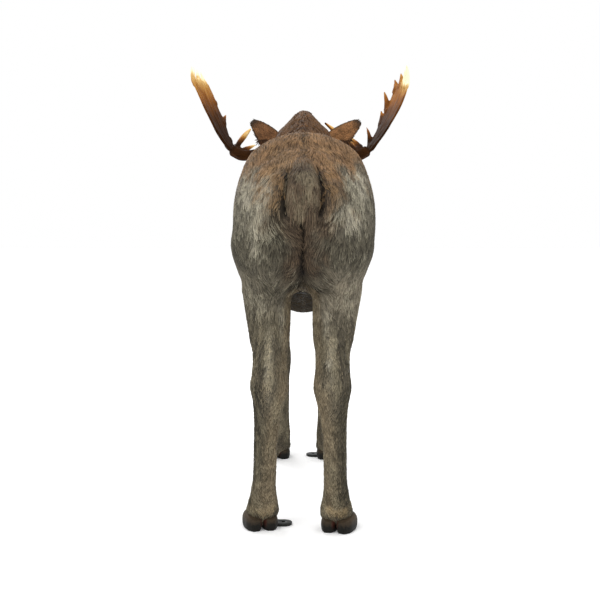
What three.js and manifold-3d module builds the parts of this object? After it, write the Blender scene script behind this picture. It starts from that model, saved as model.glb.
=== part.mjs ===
// A life-size bull moose statue: a moulded body with its coat in relief, separate antlers and eyes,
// and two steel anchor tabs under diagonal feet. Millimetres, +Z up, the animal faces +Y, its right is +X.
import * as THREE from "three";
import { mergeVertices } from "three/addons/utils/BufferGeometryUtils.js";
import Module from "manifold-3d";

const wasm = await Module();
wasm.setup();

// ---- Driving dimensions ----------------------------------------------------------------------
const CUT = 0.4; // width of the thin cuts that part the body
const HIND_HEEL_Y = -812; // rear of the hind hooves
const FORE_HEEL_Y = 632; // rear of the forehooves
const FOOT_LENGTH = 205;
const SOLE_LEVEL = 0;
const TAIL_X = -6;
const TAIL_ROOT_Y = -806; // the tail meets the trunk on a flat face here
const POLL = new THREE.Vector3(0, 1150, 1752); // where the head turns on the neck
const HEAD_SLOPE = THREE.MathUtils.degToRad(37); // the face points this far below level
const HEAD_YAW = THREE.MathUtils.degToRad(3.5); // turned to the animal's left
const HEAD_OFFSET_X = -16;
const EYE_RADIUS = 20;
const LEGS = [
  // outward and ahead: how far the foot stands off the plain stance; toeOut turns the foot, in degrees
  { name: "hindleg_left", side: -1, hind: true, outward: 22, toeOut: 14, ahead: 18 },
  { name: "hindleg_right", side: 1, hind: true, outward: -22, toeOut: 17, ahead: -18 },
  { name: "foreleg_left", side: -1, hind: false, outward: 0, toeOut: 8, ahead: 10 },
  { name: "foreleg_right", side: 1, hind: false, outward: 0, toeOut: 8, ahead: -4 },
];

// ---- Materials ---------------------------------------------------------------------------------
const finish = (color, roughness, metalness = 0) =>
  new THREE.MeshStandardMaterial({ color, roughness, metalness });
const HIDE = finish(0x6b5f4d, 0.75);
const HIDE_BROWN = finish(0x7a5c40, 0.75);
const HORN = finish(0x262420, 0.5);
const ANTLER = finish(0x8a6a45, 0.55);
const EYE = finish(0x0f0b08, 0.08);
const STEEL = finish(0x1d1e1c, 0.5, 0.6);

// ---- Solid helpers -----------------------------------------------------------------------------
function solid(geometry) {
  const bare = geometry.index ? geometry.toNonIndexed() : geometry.clone();
  bare.deleteAttribute("normal");
  bare.deleteAttribute("uv");
  const merged = mergeVertices(bare, 1e-3);
  return new wasm.Manifold(
    new wasm.Mesh({
      numProp: 3,
      vertProperties: merged.attributes.position.array,
      triVerts: new Uint32Array(merged.index.array),
    }),
  );
}

const join = (solids) => solids.reduce((all, one) => all.add(one));

// The largest body of a solid, so that a cut leaves no crumbs.
function mainBody(made) {
  const bodies = made.decompose().sort((a, b) => b.volume() - a.volume());
  return bodies[0];
}

// Cuts a piece back from its neighbour, leaving the thin gap along a direction.
function clearOf(piece, neighbour, direction) {
  const beside = (amount) => neighbour.translate(direction.map((d) => d * amount));
  return mainBody([-CUT, 0, CUT].reduce((left, amount) => left.subtract(beside(amount)), piece));
}

function meshOf(name, made, material) {
  const data = made.getMesh();
  const geometry = new THREE.BufferGeometry();
  geometry.setAttribute("position", new THREE.BufferAttribute(data.vertProperties, data.numProp));
  geometry.setIndex(new THREE.BufferAttribute(data.triVerts, 1));
  geometry.computeVertexNormals();
  const mesh = new THREE.Mesh(geometry, material);
  mesh.name = name;
  return mesh;
}

// A box between two corners, as a solid.
function block(low, high, turn = new THREE.Matrix4()) {
  const size = high.map((v, i) => v - low[i]);
  const middle = high.map((v, i) => (v + low[i]) / 2);
  return solid(new THREE.BoxGeometry(...size).translate(...middle).applyMatrix4(turn));
}

// Everything on the +Y side of a plane through a point, tilted about X by an angle in degrees.
const FAR = 4000;
function aheadOf(y, z, tilt, gap) {
  const turn = new THREE.Matrix4()
    .makeTranslation(0, y, z)
    .multiply(new THREE.Matrix4().makeRotationX(THREE.MathUtils.degToRad(tilt)));
  return block([-FAR, gap, -FAR], [FAR, FAR, FAR], turn);
}

// ---- Lofts -------------------------------------------------------------------------------------
const smooth = (rows) =>
  new THREE.CatmullRomCurve3(rows.map((r) => new THREE.Vector3(...r)), false, "catmullrom");

// One point of a section: an oval whose fore and aft halves have their own depth and squareness.
function ovalPoint(angle, half, form) {
  const c = Math.cos(angle);
  const s = Math.sin(angle);
  const power = 2 / (s >= 0 ? form.x : form.y);
  const across = Math.sign(c) * Math.abs(c) ** power * half.x;
  const along = Math.sign(s) * Math.abs(s) ** power * (s >= 0 ? half.y : half.z);
  return [across, along];
}

// A closed skin through ovals set across a path. Each station is [x, y, z, side, fore, aft, foreForm, aftForm].
// domes are the lengths of the rounded ends, and rings the sections in each.
function loft(stations, { around = 16, spans = 2, domes = [0, 0], rings = 2, across = [1, 0, 0] } = {}) {
  const centre = smooth(stations.map((s) => s.slice(0, 3)));
  const halves = smooth(stations.map((s) => s.slice(3, 6)));
  const forms = smooth(stations.map((s) => [s[6] ?? 2, s[7] ?? 2, 0]));
  const steps = (stations.length - 1) * spans;
  const hint = new THREE.Vector3(...across);
  const sections = [];
  const addSection = (u, shift, scale) => {
    const tangent = centre.getTangent(u);
    const side = hint.clone().addScaledVector(tangent, -hint.dot(tangent)).normalize();
    const fore = side.clone().cross(tangent);
    const middle = centre.getPoint(u).addScaledVector(tangent, shift);
    sections.push({ side, fore, middle, half: halves.getPoint(u).multiplyScalar(scale), form: forms.getPoint(u) });
  };
  const domeRing = (u, length, sign, k) => {
    const phi = (k / (rings + 1)) * (Math.PI / 2);
    addSection(u, sign * length * Math.sin(phi), Math.cos(phi));
  };
  if (domes[0]) for (let k = rings; k > 0; k--) domeRing(0, domes[0], -1, k);
  for (let i = 0; i <= steps; i++) addSection(i / steps, 0, 1);
  if (domes[1]) for (let k = 1; k <= rings; k++) domeRing(1, domes[1], 1, k);
  const points = [];
  for (const { side, fore, middle, half, form } of sections) {
    for (let j = 0; j < around; j++) {
      const [a, b] = ovalPoint((2 * Math.PI * j) / around, half, form);
      points.push(middle.clone().addScaledVector(side, a).addScaledVector(fore, b));
    }
  }
  const first = centre.getPoint(0).addScaledVector(centre.getTangent(0), -domes[0]);
  const last = centre.getPoint(1).addScaledVector(centre.getTangent(1), domes[1]);
  points.push(first, last);
  const index = [];
  const at = (ring, j) => ring * around + (j % around);
  for (let ring = 0; ring < sections.length - 1; ring++) {
    for (let j = 0; j < around; j++) {
      index.push(at(ring, j), at(ring + 1, j), at(ring, j + 1));
      index.push(at(ring, j + 1), at(ring + 1, j), at(ring + 1, j + 1));
    }
  }
  const end = sections.length - 1;
  for (let j = 0; j < around; j++) {
    index.push(points.length - 2, at(0, j), at(0, j + 1));
    index.push(points.length - 1, at(end, j + 1), at(end, j));
  }
  const geometry = new THREE.BufferGeometry().setFromPoints(points);
  geometry.setIndex(index);
  return geometry;
}

// A curved plate: point(u, v) is its middle surface and thickness(u, v) its full thickness there.
function plate({ rows, cols, point, thickness }) {
  const STEP = 1e-3;
  const front = [];
  const back = [];
  for (let i = 0; i <= rows; i++) {
    for (let j = 0; j <= cols; j++) {
      const [u, v] = [i / rows, j / cols];
      const alongU = point(Math.min(1, u + STEP), v).sub(point(Math.max(0, u - STEP), v));
      const alongV = point(u, Math.min(1, v + STEP)).sub(point(u, Math.max(0, v - STEP)));
      const normal = alongU.cross(alongV).normalize();
      const middle = point(u, v);
      const half = thickness(u, v) / 2;
      front.push(middle.clone().addScaledVector(normal, half));
      back.push(middle.clone().addScaledVector(normal, -half));
    }
  }
  const width = cols + 1;
  const shift = front.length;
  const index = [];
  const quad = (a, b, c, d) => index.push(a, b, c, a, c, d);
  for (let i = 0; i < rows; i++) {
    for (let j = 0; j < cols; j++) {
      const [a, b, c, d] = [i * width + j, (i + 1) * width + j, (i + 1) * width + j + 1, i * width + j + 1];
      quad(a, b, c, d);
      quad(shift + d, shift + c, shift + b, shift + a);
    }
  }
  for (let i = 0; i < rows; i++) {
    const [a, b] = [i * width, (i + 1) * width];
    quad(a, shift + a, shift + b, b);
    quad(b + cols, shift + b + cols, shift + a + cols, a + cols);
  }
  for (let j = 0; j < cols; j++) {
    const top = rows * width + j;
    quad(j + 1, shift + j + 1, shift + j, j);
    quad(top, shift + top, shift + top + 1, top + 1);
  }
  const geometry = new THREE.BufferGeometry().setFromPoints([...front, ...back]);
  geometry.setIndex(index);
  return geometry;
}

// Turns a plate's or loft's solid the right way out.
function outward(geometry) {
  const made = solid(geometry);
  if (made.volume() > 0) return made;
  const flipped = geometry.clone();
  const order = Array.from(flipped.index.array);
  for (let i = 0; i < order.length; i += 3) [order[i], order[i + 1]] = [order[i + 1], order[i]];
  flipped.setIndex(order);
  return solid(flipped);
}

// ---- Trunk: rump to chest, sections across the body --------------------------------------------
const TRUNK = [
  [0, -930, 1470, 168, 160, 150, 2.1, 2],
  [0, -865, 1440, 245, 262, 225, 2.1, 2],
  [0, -760, 1398, 303, 358, 300, 2.15, 2],
  [0, -620, 1370, 323, 406, 325, 2.25, 2],
  [0, -430, 1364, 310, 402, 330, 2.1, 2],
  [0, -230, 1358, 292, 400, 375, 2, 2],
  [0, 0, 1354, 300, 440, 438, 1.85, 2],
  [0, 200, 1358, 300, 516, 482, 1.6, 2],
  [0, 380, 1366, 286, 577, 494, 1.48, 2.05],
  [0, 520, 1372, 268, 577, 466, 1.48, 2.05],
  [0, 660, 1388, 242, 482, 376, 1.7, 2],
  [0, 790, 1412, 192, 350, 266, 2, 2],
];

const NECK = [
  [0, 520, 1440, 218, 400, 360],
  [0, 680, 1490, 204, 350, 330, 1.8, 1.8],
  [0, 820, 1550, 176, 280, 290, 1.8, 1.7],
  [0, 950, 1610, 152, 222, 250, 1.9, 1.7],
  [0, 1070, 1665, 132, 172, 215],
  [0, 1180, 1700, 112, 132, 172],
];

// The head, as lengths along the face from the poll: [along, drop of the axis, side, top, bottom, topForm, bottomForm]
const HEAD = [
  [-60, 0, 88, 94, 130, 2, 2],
  [0, 0, 106, 112, 150, 2.1, 2],
  [85, 0, 116, 114, 172, 2.3, 1.8],
  [170, 0, 114, 104, 172, 2.4, 1.7],
  [260, 4, 96, 88, 150, 2.3, 1.7],
  [355, 8, 82, 82, 124, 2.2, 1.9],
  [450, 8, 80, 84, 112, 2.2, 2],
  [540, 6, 88, 96, 116, 2.3, 2.2],
  [615, 10, 96, 102, 124, 2.5, 2.4],
  [680, 22, 92, 96, 116, 2.6, 2.5],
  [722, 44, 76, 76, 96, 2.4, 2.4],
];
const HEAD_DOME = 24;

// The lower jaw: the same measures, hung under the head.
const JAW = [
  [60, -70, 60, 40, 60, 2, 2],
  [200, -84, 54, 40, 62, 2, 1.9],
  [340, -78, 44, 34, 44, 2, 2],
  [470, -68, 40, 30, 38, 2, 2],
  [570, -62, 44, 30, 40, 2.2, 2],
  [632, -52, 40, 26, 36, 2.2, 2],
];

// Turns head measures into body places. Up is square to the face.
const faceAlong = new THREE.Vector3(0, Math.cos(HEAD_SLOPE), -Math.sin(HEAD_SLOPE));
const faceUp = new THREE.Vector3(0, Math.sin(HEAD_SLOPE), Math.cos(HEAD_SLOPE));
const onHead = (x, along, up) =>
  POLL.clone().addScaledVector(faceAlong, along).addScaledVector(faceUp, up).add(new THREE.Vector3(x, 0, 0));
const headStation = ([along, drop, side, top, bottom, topForm, bottomForm]) => [
  ...onHead(0, along, -drop).toArray(), side, top, bottom, topForm, bottomForm,
];
const jawStation = ([along, up, ...rest]) => [...onHead(0, along, up).toArray(), ...rest];

const headTurn = new THREE.Matrix4()
  .makeTranslation(POLL.x + HEAD_OFFSET_X, POLL.y, POLL.z)
  .multiply(new THREE.Matrix4().makeRotationZ(HEAD_YAW))
  .multiply(new THREE.Matrix4().makeTranslation(-POLL.x, -POLL.y, -POLL.z));

// ---- Legs: [height, lateral, y, side, fore, aft, foreForm, aftForm] -----------------------------
const HINDLEG = [
  [1440, 148, -640, 126, 190, 270],
  [1290, 158, -655, 156, 245, 312],
  [1185, 147, -655, 143, 255, 305],
  [1128, 143, -658, 137, 245, 288],
  [1092, 153, -662, 115, 236, 270],
  [1005, 151, -688, 102, 208, 215],
  [930, 144, -730, 92, 158, 158, 2, 1.8],
  [860, 139, -775, 85, 110, 118, 2, 1.7],
  [795, 137, -812, 77, 86, 98, 2, 1.6],
  [730, 137, -838, 76, 82, 104, 2, 1.7],
  [665, 137, -848, 82, 82, 102, 2.1, 1.9],
  [583, 140, -847, 69, 64, 84],
  [495, 146, -838, 58, 52, 66],
  [400, 151, -826, 54, 49, 60],
  [280, 155, -808, 53, 49, 58],
  [205, 159, -790, 54, 52, 60],
  [135, 162, -762, 64, 62, 66],
  [95, 164, -742, 71, 62, 65],
  [55, 169, -714, 73, 60, 66],
  [22, 171, -698, 54, 52, 54],
];

const FORELEG = [
  [1560, 120, 500, 80, 130, 130],
  [1380, 168, 575, 104, 190, 180],
  [1200, 166, 595, 104, 190, 190],
  [1060, 156, 590, 92, 145, 172],
  [950, 147, 592, 78, 105, 130],
  [840, 141, 605, 66, 82, 90],
  [730, 136, 615, 60, 68, 72],
  [640, 135, 624, 62, 66, 62],
  [575, 134, 630, 67, 68, 60],
  [500, 133, 626, 58, 54, 54],
  [380, 132, 624, 53, 46, 52],
  [250, 133, 626, 53, 48, 54],
  [165, 137, 636, 62, 58, 62],
  [115, 141, 662, 64, 58, 61],
  [62, 146, 700, 69, 58, 61],
  [24, 150, 722, 48, 50, 52],
];

const FULL_STANCE_Z = 1500; // above this the stance shift has faded out
function legStations(leg) {
  const rows = leg.hind ? HINDLEG : FORELEG;
  return rows.map(([z, lateral, y, ...rest]) => {
    const low = Math.max(0, 1 - z / FULL_STANCE_Z) ** 0.6;
    return [leg.side * (lateral + leg.outward * low), y + leg.ahead * low, z, ...rest];
  });
}

// ---- Feet ---------------------------------------------------------------------------------------
// One toe, from its heel forward, before it is placed: [forward, lateral, middle height, side, top, bottom]
const TOE = [
  [10, 35, 27, 31, 36, 38],
  [50, 39, 31, 38, 50, 52],
  [100, 39, 30, 39, 50, 52],
  [150, 32, 20, 30, 36, 42],
  [190, 24, 10, 15, 16, 28],
];
const CORONET = { heel: 52, slope: 12 }; // height of the hoof's top at the heel, and its rise forward in degrees
const CLEFT = 9;

function footTurn(leg) {
  const [x, y] = footPlace(leg);
  return new THREE.Matrix4()
    .makeTranslation(x, y, 0)
    .multiply(new THREE.Matrix4().makeRotationZ(THREE.MathUtils.degToRad(-leg.side * leg.toeOut)));
}

// The middle of a foot's heel on the floor.
function footPlace(leg) {
  const sole = legStations(leg).at(-1);
  const heelY = (leg.hind ? HIND_HEEL_Y : FORE_HEEL_Y) + leg.ahead;
  const half = FOOT_LENGTH / 2;
  const turn = THREE.MathUtils.degToRad(leg.toeOut);
  return [sole[0] - leg.side * Math.sin(turn) * (half * 0.5), heelY + 8];
}

function toes(leg) {
  return [-1, 1].map((side) => {
    const rows = TOE.map(([forward, lateral, z, ...half]) => [side * lateral, forward, z, ...half, 2.2, 2.4]);
    return outward(loft(rows, { around: 10, spans: 1, domes: [12, 15], rings: 1 }).applyMatrix4(footTurn(leg)));
  });
}

// ---- Tail, bell and ears --------------------------------------------------------------------------
const TAIL = [
  [TAIL_X, -790, 1626, 46, 30, 40],
  [TAIL_X, -866, 1598, 54, 34, 40],
  [TAIL_X, -930, 1566, 62, 32, 36, 2.1, 2.1],
  [TAIL_X, -980, 1520, 69, 32, 32, 2.2, 2.2],
  [TAIL_X, -1003, 1480, 71, 30, 28, 2.3, 2.2],
  [TAIL_X, -1000, 1444, 60, 26, 22, 2.2, 2.2],
];

const BELL = [
  [0, 1090, 1520, 38, 66, 66],
  [0, 1102, 1430, 36, 66, 54],
  [0, 1112, 1350, 32, 54, 42],
  [0, 1118, 1270, 25, 38, 31],
  [0, 1120, 1205, 14, 20, 19],
];

// An ear as a cupped leaf, set by its root, its tip and the way its open side faces.
const EAR_LENGTH_FORM = (u) => Math.sin(Math.PI * (0.12 + 0.8 * u ** 1.25)) ** 0.6;
function ear({ root, tip, faces, width, thickness }) {
  const axis = new THREE.Vector3().subVectors(tip, root);
  const open = faces.clone().addScaledVector(axis, -faces.dot(axis) / axis.lengthSq()).normalize();
  const across = axis.clone().normalize().cross(open);
  const CURL = 1.15; // half angle, in radians, that the leaf wraps round
  return outward(
    plate({
      rows: 7,
      cols: 4,
      point: (u, v) => {
        const angle = (2 * v - 1) * CURL * (1 - 0.55 * u);
        const radius = (width / 2) * Math.max(0.06, EAR_LENGTH_FORM(u));
        return root.clone()
          .addScaledVector(axis, u)
          .addScaledVector(across, radius * Math.sin(angle))
          .addScaledVector(open, -radius * 0.8 * (Math.cos(angle) - 0.35));
      },
      thickness: (u) => thickness * (1 - 0.55 * u),
    }),
  );
}
const EARS = [
  { name: "ear_left", root: [-84, 1158, 1712], tip: [-291, 1128, 1932] },
  { name: "ear_right", root: [90, 1158, 1712], tip: [352, 1128, 1932] },
];

// ---- Antlers ---------------------------------------------------------------------------------------
// Measured outwards from the midline, then forward, then up, from a point between the pedicles.
const ANTLER_ROOT = new THREE.Vector3(0, 1205, 1750);
const antlerPoint = (side, [out, forward, up]) =>
  new THREE.Vector3(side * out, forward, up).add(ANTLER_ROOT);

const BEAM = [
  [72, 6, 62, 31],
  [138, 4, 38, 28],
  [214, -4, 8, 28],
  [290, -10, -10, 30],
  [350, -12, -14, 33],
  [402, -12, 12, 33],
];

function beam(side) {
  const rows = BEAM.map(([out, forward, up, r]) => [
    ...antlerPoint(side, [out, forward, up]).toArray(), r * 1.1, r, r,
  ]);
  const burr = BEAM[0];
  const collar = [0, 18].map((step) => [
    ...antlerPoint(side, [burr[0] + step, burr[1], burr[2] - step * 0.5]).toArray(), 41, 38, 38,
  ]);
  const along = { around: 10, spans: 1, across: [0, 1, 0], rings: 1 };
  return join([
    outward(loft(rows, { ...along, domes: [12, 20] })),
    outward(loft(collar, { ...along, domes: [6, 6] })),
  ]);
}

// The main palm. u runs up the palm from the beam, v from its rear edge to its front edge.
const PALM_SPINE = {
  left: smooth([
    [372, -12, -22],
    [428, -14, 34],
    [488, -20, 118],
    [534, -28, 210],
    [575, -34, 296],
    [609, -40, 375],
    [634, -44, 436],
  ]),
  right: smooth([
    [376, -12, -22],
    [434, -14, 34],
    [494, -20, 118],
    [546, -28, 210],
    [588, -34, 296],
    [616, -40, 375],
    [628, -44, 428],
  ]),
};
const PALM_WIDTH = smooth([[70, 0.5, 0], [120, 0.42, 0], [215, 0.36, 0], [310, 0.33, 0], [365, 0.33, 0], [340, 0.35, 0]]);
// How far the front of a palm leans to the midline, from its foot to its top.
const PALM_CUP = {
  left: smooth([0.56, 0.5, 0.46, 0.38, 0.31, 0.31, 0.33].map((lean) => [lean, 0, 0])),
  right: smooth([0.26, 0.25, 0.2, 0.13, 0.09, 0.08, 0.08].map((lean) => [lean, 0, 0])),
};
function palmPoint(side, label) {
  return (u, v) => {
    const along = Math.max(0, Math.min(1, u));
    const [out, forward, up] = PALM_SPINE[label].getPoint(along).toArray();
    const { x: width, y: rearShare } = PALM_WIDTH.getPoint(along);
    const lean = PALM_CUP[label].getPoint(along).x;
    const reach = (v - rearShare) * width; // forward of the spine
    const cup = (reach > 0 ? lean : -0.05) * Math.abs(reach) + 0.0002 * reach * reach;
    const lift = -0.0006 * reach * reach + 0.08 * reach;
    return antlerPoint(side, [out - cup, forward + reach, up + lift]);
  };
}
const palmThickness = (u, v) => (32 - 12 * u - 12 * Math.abs(2 * v - 1)) * Math.min(1, 0.6 + 2 * u);

// A tine grows from a place on the palm: [u, v, length, out, forward, up, root radius]
const TINE_FOOT = 20; // how deep a tine stands in the palm
function tine(root, way, length, radius, inward, base = way) {
  const direction = way.clone().normalize();
  const bend = inward.clone().multiplyScalar(length * 0.16);
  const rows = [-TINE_FOOT, 0.55 * length, length].map((reach) => [
    ...root.clone().addScaledVector(reach < 0 ? base.clone().normalize() : direction, reach)
      .addScaledVector(bend, (reach / length) ** 2).toArray(),
    ...[1, 1, 1].map(() => radius * (1 - 0.74 * Math.max(0, reach / length) ** 1.8)),
  ]);
  return outward(loft(rows, { around: 6, spans: 1, domes: [0, radius * 0.5], rings: 1, across: [0, 1, 0.2] }));
}

const PALM_TINES = {
  left: [
    [0.97, 0.14, 86, 0.27, -0.11, 0.96, 20],
    [0.99, 0.34, 84, 0.15, 0.41, 0.9, 20],
    [0.99, 0.58, 80, 0.28, 0.43, 0.86, 20],
    [0.96, 0.82, 84, 0.46, -0.12, 0.88, 20],
    [0.72, 0.94, 100, 0.36, 0.8, 0.48, 24],
    [0.46, 0.96, 96, -0.01, 0.83, 0.55, 25],
    [0.26, 0.93, 100, 0.45, 0.86, 0.23, 24],
  ],
  right: [
    [0.97, 0.16, 104, 0.1, -0.26, 0.96, 26],
    [0.99, 0.36, 70, 0.13, -0.12, 0.98, 24],
    [0.98, 0.6, 84, 0.2, 0.61, 0.77, 25],
    [0.93, 0.88, 110, 0.18, 0.79, 0.58, 26],
    [0.63, 0.96, 140, 0.07, 0.51, 0.86, 28],
    [0.46, 0.96, 120, 0.22, 0.68, 0.69, 27],
    [0.22, 1.0, 120, 0.0, 0.51, 0.86, 24],
  ],
};

function palm(side, label) {
  const point = palmPoint(side, label);
  const inward = new THREE.Vector3(-side, 0, 0);
  const blade = outward(plate({ rows: 7, cols: 4, point, thickness: palmThickness }));
  const points = PALM_TINES[label].map(([u, v, length, out, forward, up, radius]) => {
    const inner = u > 0.9 ? point(u - 0.15, v) : point(u - 0.06, v - 0.25);
    const base = point(u, v).sub(inner);
    return tine(point(u, v), new THREE.Vector3(side * out, forward, up), length, radius * 0.72, inward, base);
  });
  return join([blade, ...points]);
}

// The brow branch: a small palm ahead of the beam, with its own tines.
const BROW = [
  [318, 4, -18, 27],
  [346, 60, -4, 25],
  [368, 118, 20, 28],
  [382, 170, 42, 26],
];
const BROW_TINES = {
  left: [
    [[386, 132, 34], 155, [-0.46, 0.45, 0.77], 22],
    [[380, 165, 42], 165, [-0.39, 0.58, 0.71], 25],
    [[350, 96, 12], 160, [-0.39, 0.87, 0.29], 19],
  ],
  right: [
    [[386, 132, 34], 140, [-0.36, 0.73, 0.58], 19],
    [[380, 165, 42], 165, [-0.25, 0.93, 0.28], 19],
    [[350, 96, 12], 262, [-0.55, 0.46, 0.7], 27],
  ],
};
function brow(side, tines) {
  const rows = BROW.map(([out, forward, up, r]) => [
    ...antlerPoint(side, [out, forward, up]).toArray(), r * 1.25, r * 0.8, r * 0.8,
  ]);
  const inward = new THREE.Vector3(-side, 0, 0);
  const branch = outward(loft(rows, { around: 8, spans: 1, domes: [0, 20], rings: 1, across: [1, -side * 0.6, 0] }));
  const points = tines.map(([root, length, [out, forward, up], radius]) =>
    tine(antlerPoint(side, root), new THREE.Vector3(side * out, forward, up), length, radius, inward),
  );
  return join([branch, ...points]);
}

// ---- Anchor tabs ------------------------------------------------------------------------------------
const TAB = { width: 80, thickness: 13, beyond: 64, under: 50, hole: 8, ahead: 112 };
function tab(leg) {
  const [x, y] = footPlace(leg);
  const inner = x - leg.side * 62; // the hoof's inner side
  const shape = new THREE.Shape();
  const r = TAB.width / 2;
  shape.moveTo(TAB.under, -r);
  shape.lineTo(-(TAB.beyond - r), -r);
  shape.absarc(-(TAB.beyond - r), 0, r, -Math.PI / 2, -1.5 * Math.PI, true);
  shape.lineTo(TAB.under, r);
  shape.closePath();
  shape.holes.push(new THREE.Path().absarc(-(TAB.beyond - r), 0, TAB.hole, 0, 2 * Math.PI));
  const flat = new THREE.ExtrudeGeometry(shape, { depth: TAB.thickness, bevelEnabled: false, curveSegments: 8 });
  if (leg.side < 0) flat.rotateZ(Math.PI);
  return solid(flat.translate(inner, y + TAB.ahead, SOLE_LEVEL));
}

// ---- The whole body, then its thin cuts ---------------------------------------------------------------
const headFlesh = join([
  outward(loft(HEAD.map(headStation), { around: 18, spans: 1, domes: [0, HEAD_DOME] }).applyMatrix4(headTurn)),
  outward(loft(JAW.map(jawStation), { around: 10, spans: 1, domes: [0, 22] }).applyMatrix4(headTurn)),
]);
const trunkFlesh = join([
  outward(loft(TRUNK, { around: 20, spans: 1, domes: [48, 60], rings: 1 })),
  outward(loft(NECK, { around: 16, spans: 1 })),
]);
const legFlesh = LEGS.map((leg) => outward(loft(legStations(leg), { around: 14, spans: 1 })));
const body = join([trunkFlesh, headFlesh, ...legFlesh]);

const NECK_CUT = { y: 735, z: 1500, tilt: -20 };
const HEAD_CUT = { y: 1192, z: 1650, tilt: 4 };
const half = CUT / 2;
const beyondNeckCut = (gap) => aheadOf(NECK_CUT.y, NECK_CUT.z, -NECK_CUT.tilt, gap);
const beyondHeadCut = (gap) => aheadOf(HEAD_CUT.y, HEAD_CUT.z, -HEAD_CUT.tilt, gap);

// The room each leg takes of the body, from the floor to where it leaves the trunk.
function legRoom(leg, grow) {
  const top = (leg.hind ? 1052 : 925) + grow;
  const inner = (leg.hind ? half : 46) - grow;
  const [rear, front] = leg.hind ? [-1200, -395] : [380, 900];
  const xs = [leg.side * inner, leg.side * 600].sort((a, b) => a - b);
  return block([xs[0], rear - grow, -50], [xs[1], front + grow, top]);
}

const moose = new THREE.Group();
const eyePlace = (side) => onHead(side * 98, 158, 42).applyMatrix4(headTurn);
const eyeBall = (side, radius) => solid(new THREE.SphereGeometry(radius, 10, 7).translate(...eyePlace(side).toArray()));

let head = body.intersect(beyondHeadCut(half));
const neck = body.subtract(beyondHeadCut(-half)).intersect(beyondNeckCut(half));
let trunk = body.subtract(beyondNeckCut(-half));
for (const leg of LEGS) trunk = trunk.subtract(legRoom(leg, leg.hind ? half : CUT));

const tail = outward(loft(TAIL, { around: 12, spans: 1, domes: [0, 22] }));
const tailSpace = outward(loft(TAIL.map(([x, y, z, s, f, a, ...form]) => [x, y, z, s + CUT, f + CUT, a + CUT, ...form]),
  { around: 12, spans: 1, domes: [0, 22 + CUT] }));
const behindTailRoot = block([-300, -2000, 1000], [300, TAIL_ROOT_Y, 2000]);
trunk = trunk.subtract(tailSpace.intersect(behindTailRoot));

const bell = outward(loft(BELL, { around: 12, spans: 1, domes: [0, 12] }));
moose.add(meshOf("trunk", mainBody(trunk), HIDE));
moose.add(meshOf("neck", mainBody(neck), HIDE_BROWN));
moose.add(meshOf("tail", mainBody(tail.intersect(behindTailRoot)), HIDE));
moose.add(meshOf("bell", clearOf(bell, body, [0, 0, -1]), HIDE));

for (const { name, root, tip } of EARS) {
  const made = ear({
    root: new THREE.Vector3(...root).applyMatrix4(headTurn),
    tip: new THREE.Vector3(...tip).applyMatrix4(headTurn),
    faces: new THREE.Vector3(Math.sign(root[0]) * 0.35, 1, -0.1),
    width: 178,
    thickness: 16,
  });
  moose.add(meshOf(name, clearOf(made, body, [Math.sign(root[0]), 0, 0.6]), HIDE_BROWN));
}

for (const side of [-1, 1]) {
  const label = side < 0 ? "left" : "right";
  const turned = (made) => made.transform(headTurn.toArray());
  const stem = beam(side);
  const mainPalm = clearOf(palm(side, label), stem, [side * 0.7, 0, 0.7]);
  const browPalm = clearOf(clearOf(brow(side, BROW_TINES[label]), stem, [0, 1, 0]), mainPalm, [-side, 0, 0]);
  moose.add(meshOf(`antler_${label}_beam`, clearOf(turned(stem), body, [side, 0, 0.6]), ANTLER));
  moose.add(meshOf(`antler_${label}_brow`, turned(browPalm), ANTLER));
  moose.add(meshOf(`antler_${label}_palm`, turned(mainPalm), ANTLER));
  moose.add(meshOf(`eye_${label}`, eyeBall(side, EYE_RADIUS), EYE));
  head = head.subtract(eyeBall(side, EYE_RADIUS + CUT));
}
moose.add(meshOf("head", mainBody(head), HIDE_BROWN));

const aboveFloor = block([-FAR, -FAR, SOLE_LEVEL], [FAR, FAR, FAR]);
for (const leg of LEGS) {
  const turn = footTurn(leg);
  const coronet = turn.clone()
    .multiply(new THREE.Matrix4().makeTranslation(0, 0, CORONET.heel))
    .multiply(new THREE.Matrix4().makeRotationX(THREE.MathUtils.degToRad(CORONET.slope)));
  const above = (gap) => block([-FAR, -FAR, gap], [FAR, FAR, FAR], coronet);
  const flesh = body.intersect(legRoom(leg, 0)).intersect(above(half));
  moose.add(meshOf(leg.name, mainBody(flesh), HIDE));
  const anchor = leg.name === "hindleg_left" || leg.name === "foreleg_right" ? tab(leg) : null;
  toes(leg).forEach((toe, i) => {
    const side = i === 0 ? -1 : 1;
    const xs = [side * (CLEFT / 2), side * 200].sort((a, b) => a - b);
    const own = block([xs[0], -FAR, -FAR], [xs[1], FAR, FAR], turn);
    let made = toe.intersect(own).intersect(aboveFloor).subtract(above(-half));
    if (anchor) made = made.subtract(anchor);
    moose.add(meshOf(`${leg.name}_toe_${i === 0 ? "a" : "b"}`, mainBody(made), HORN));
  });
  if (anchor) moose.add(meshOf(`${leg.name}_anchor_tab`, anchor, STEEL));
}

// The origin sits under the middle of the model's box, on the floor.
const extent = new THREE.Box3().setFromObject(moose);
const middle = extent.getCenter(new THREE.Vector3());
moose.position.set(-middle.x, -middle.y, -extent.min.z);

export default moose;
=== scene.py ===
"""A life-size bull moose statue: one skin under a coat of closed tufts, antlers, eyes, hooves and tabs.

Body places are in millimetres in the tables below, as the animal stands: +Y the way it faces, +X its right,
+Z up. ORIGIN carries them into the frame's metres.
"""

import math

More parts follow.
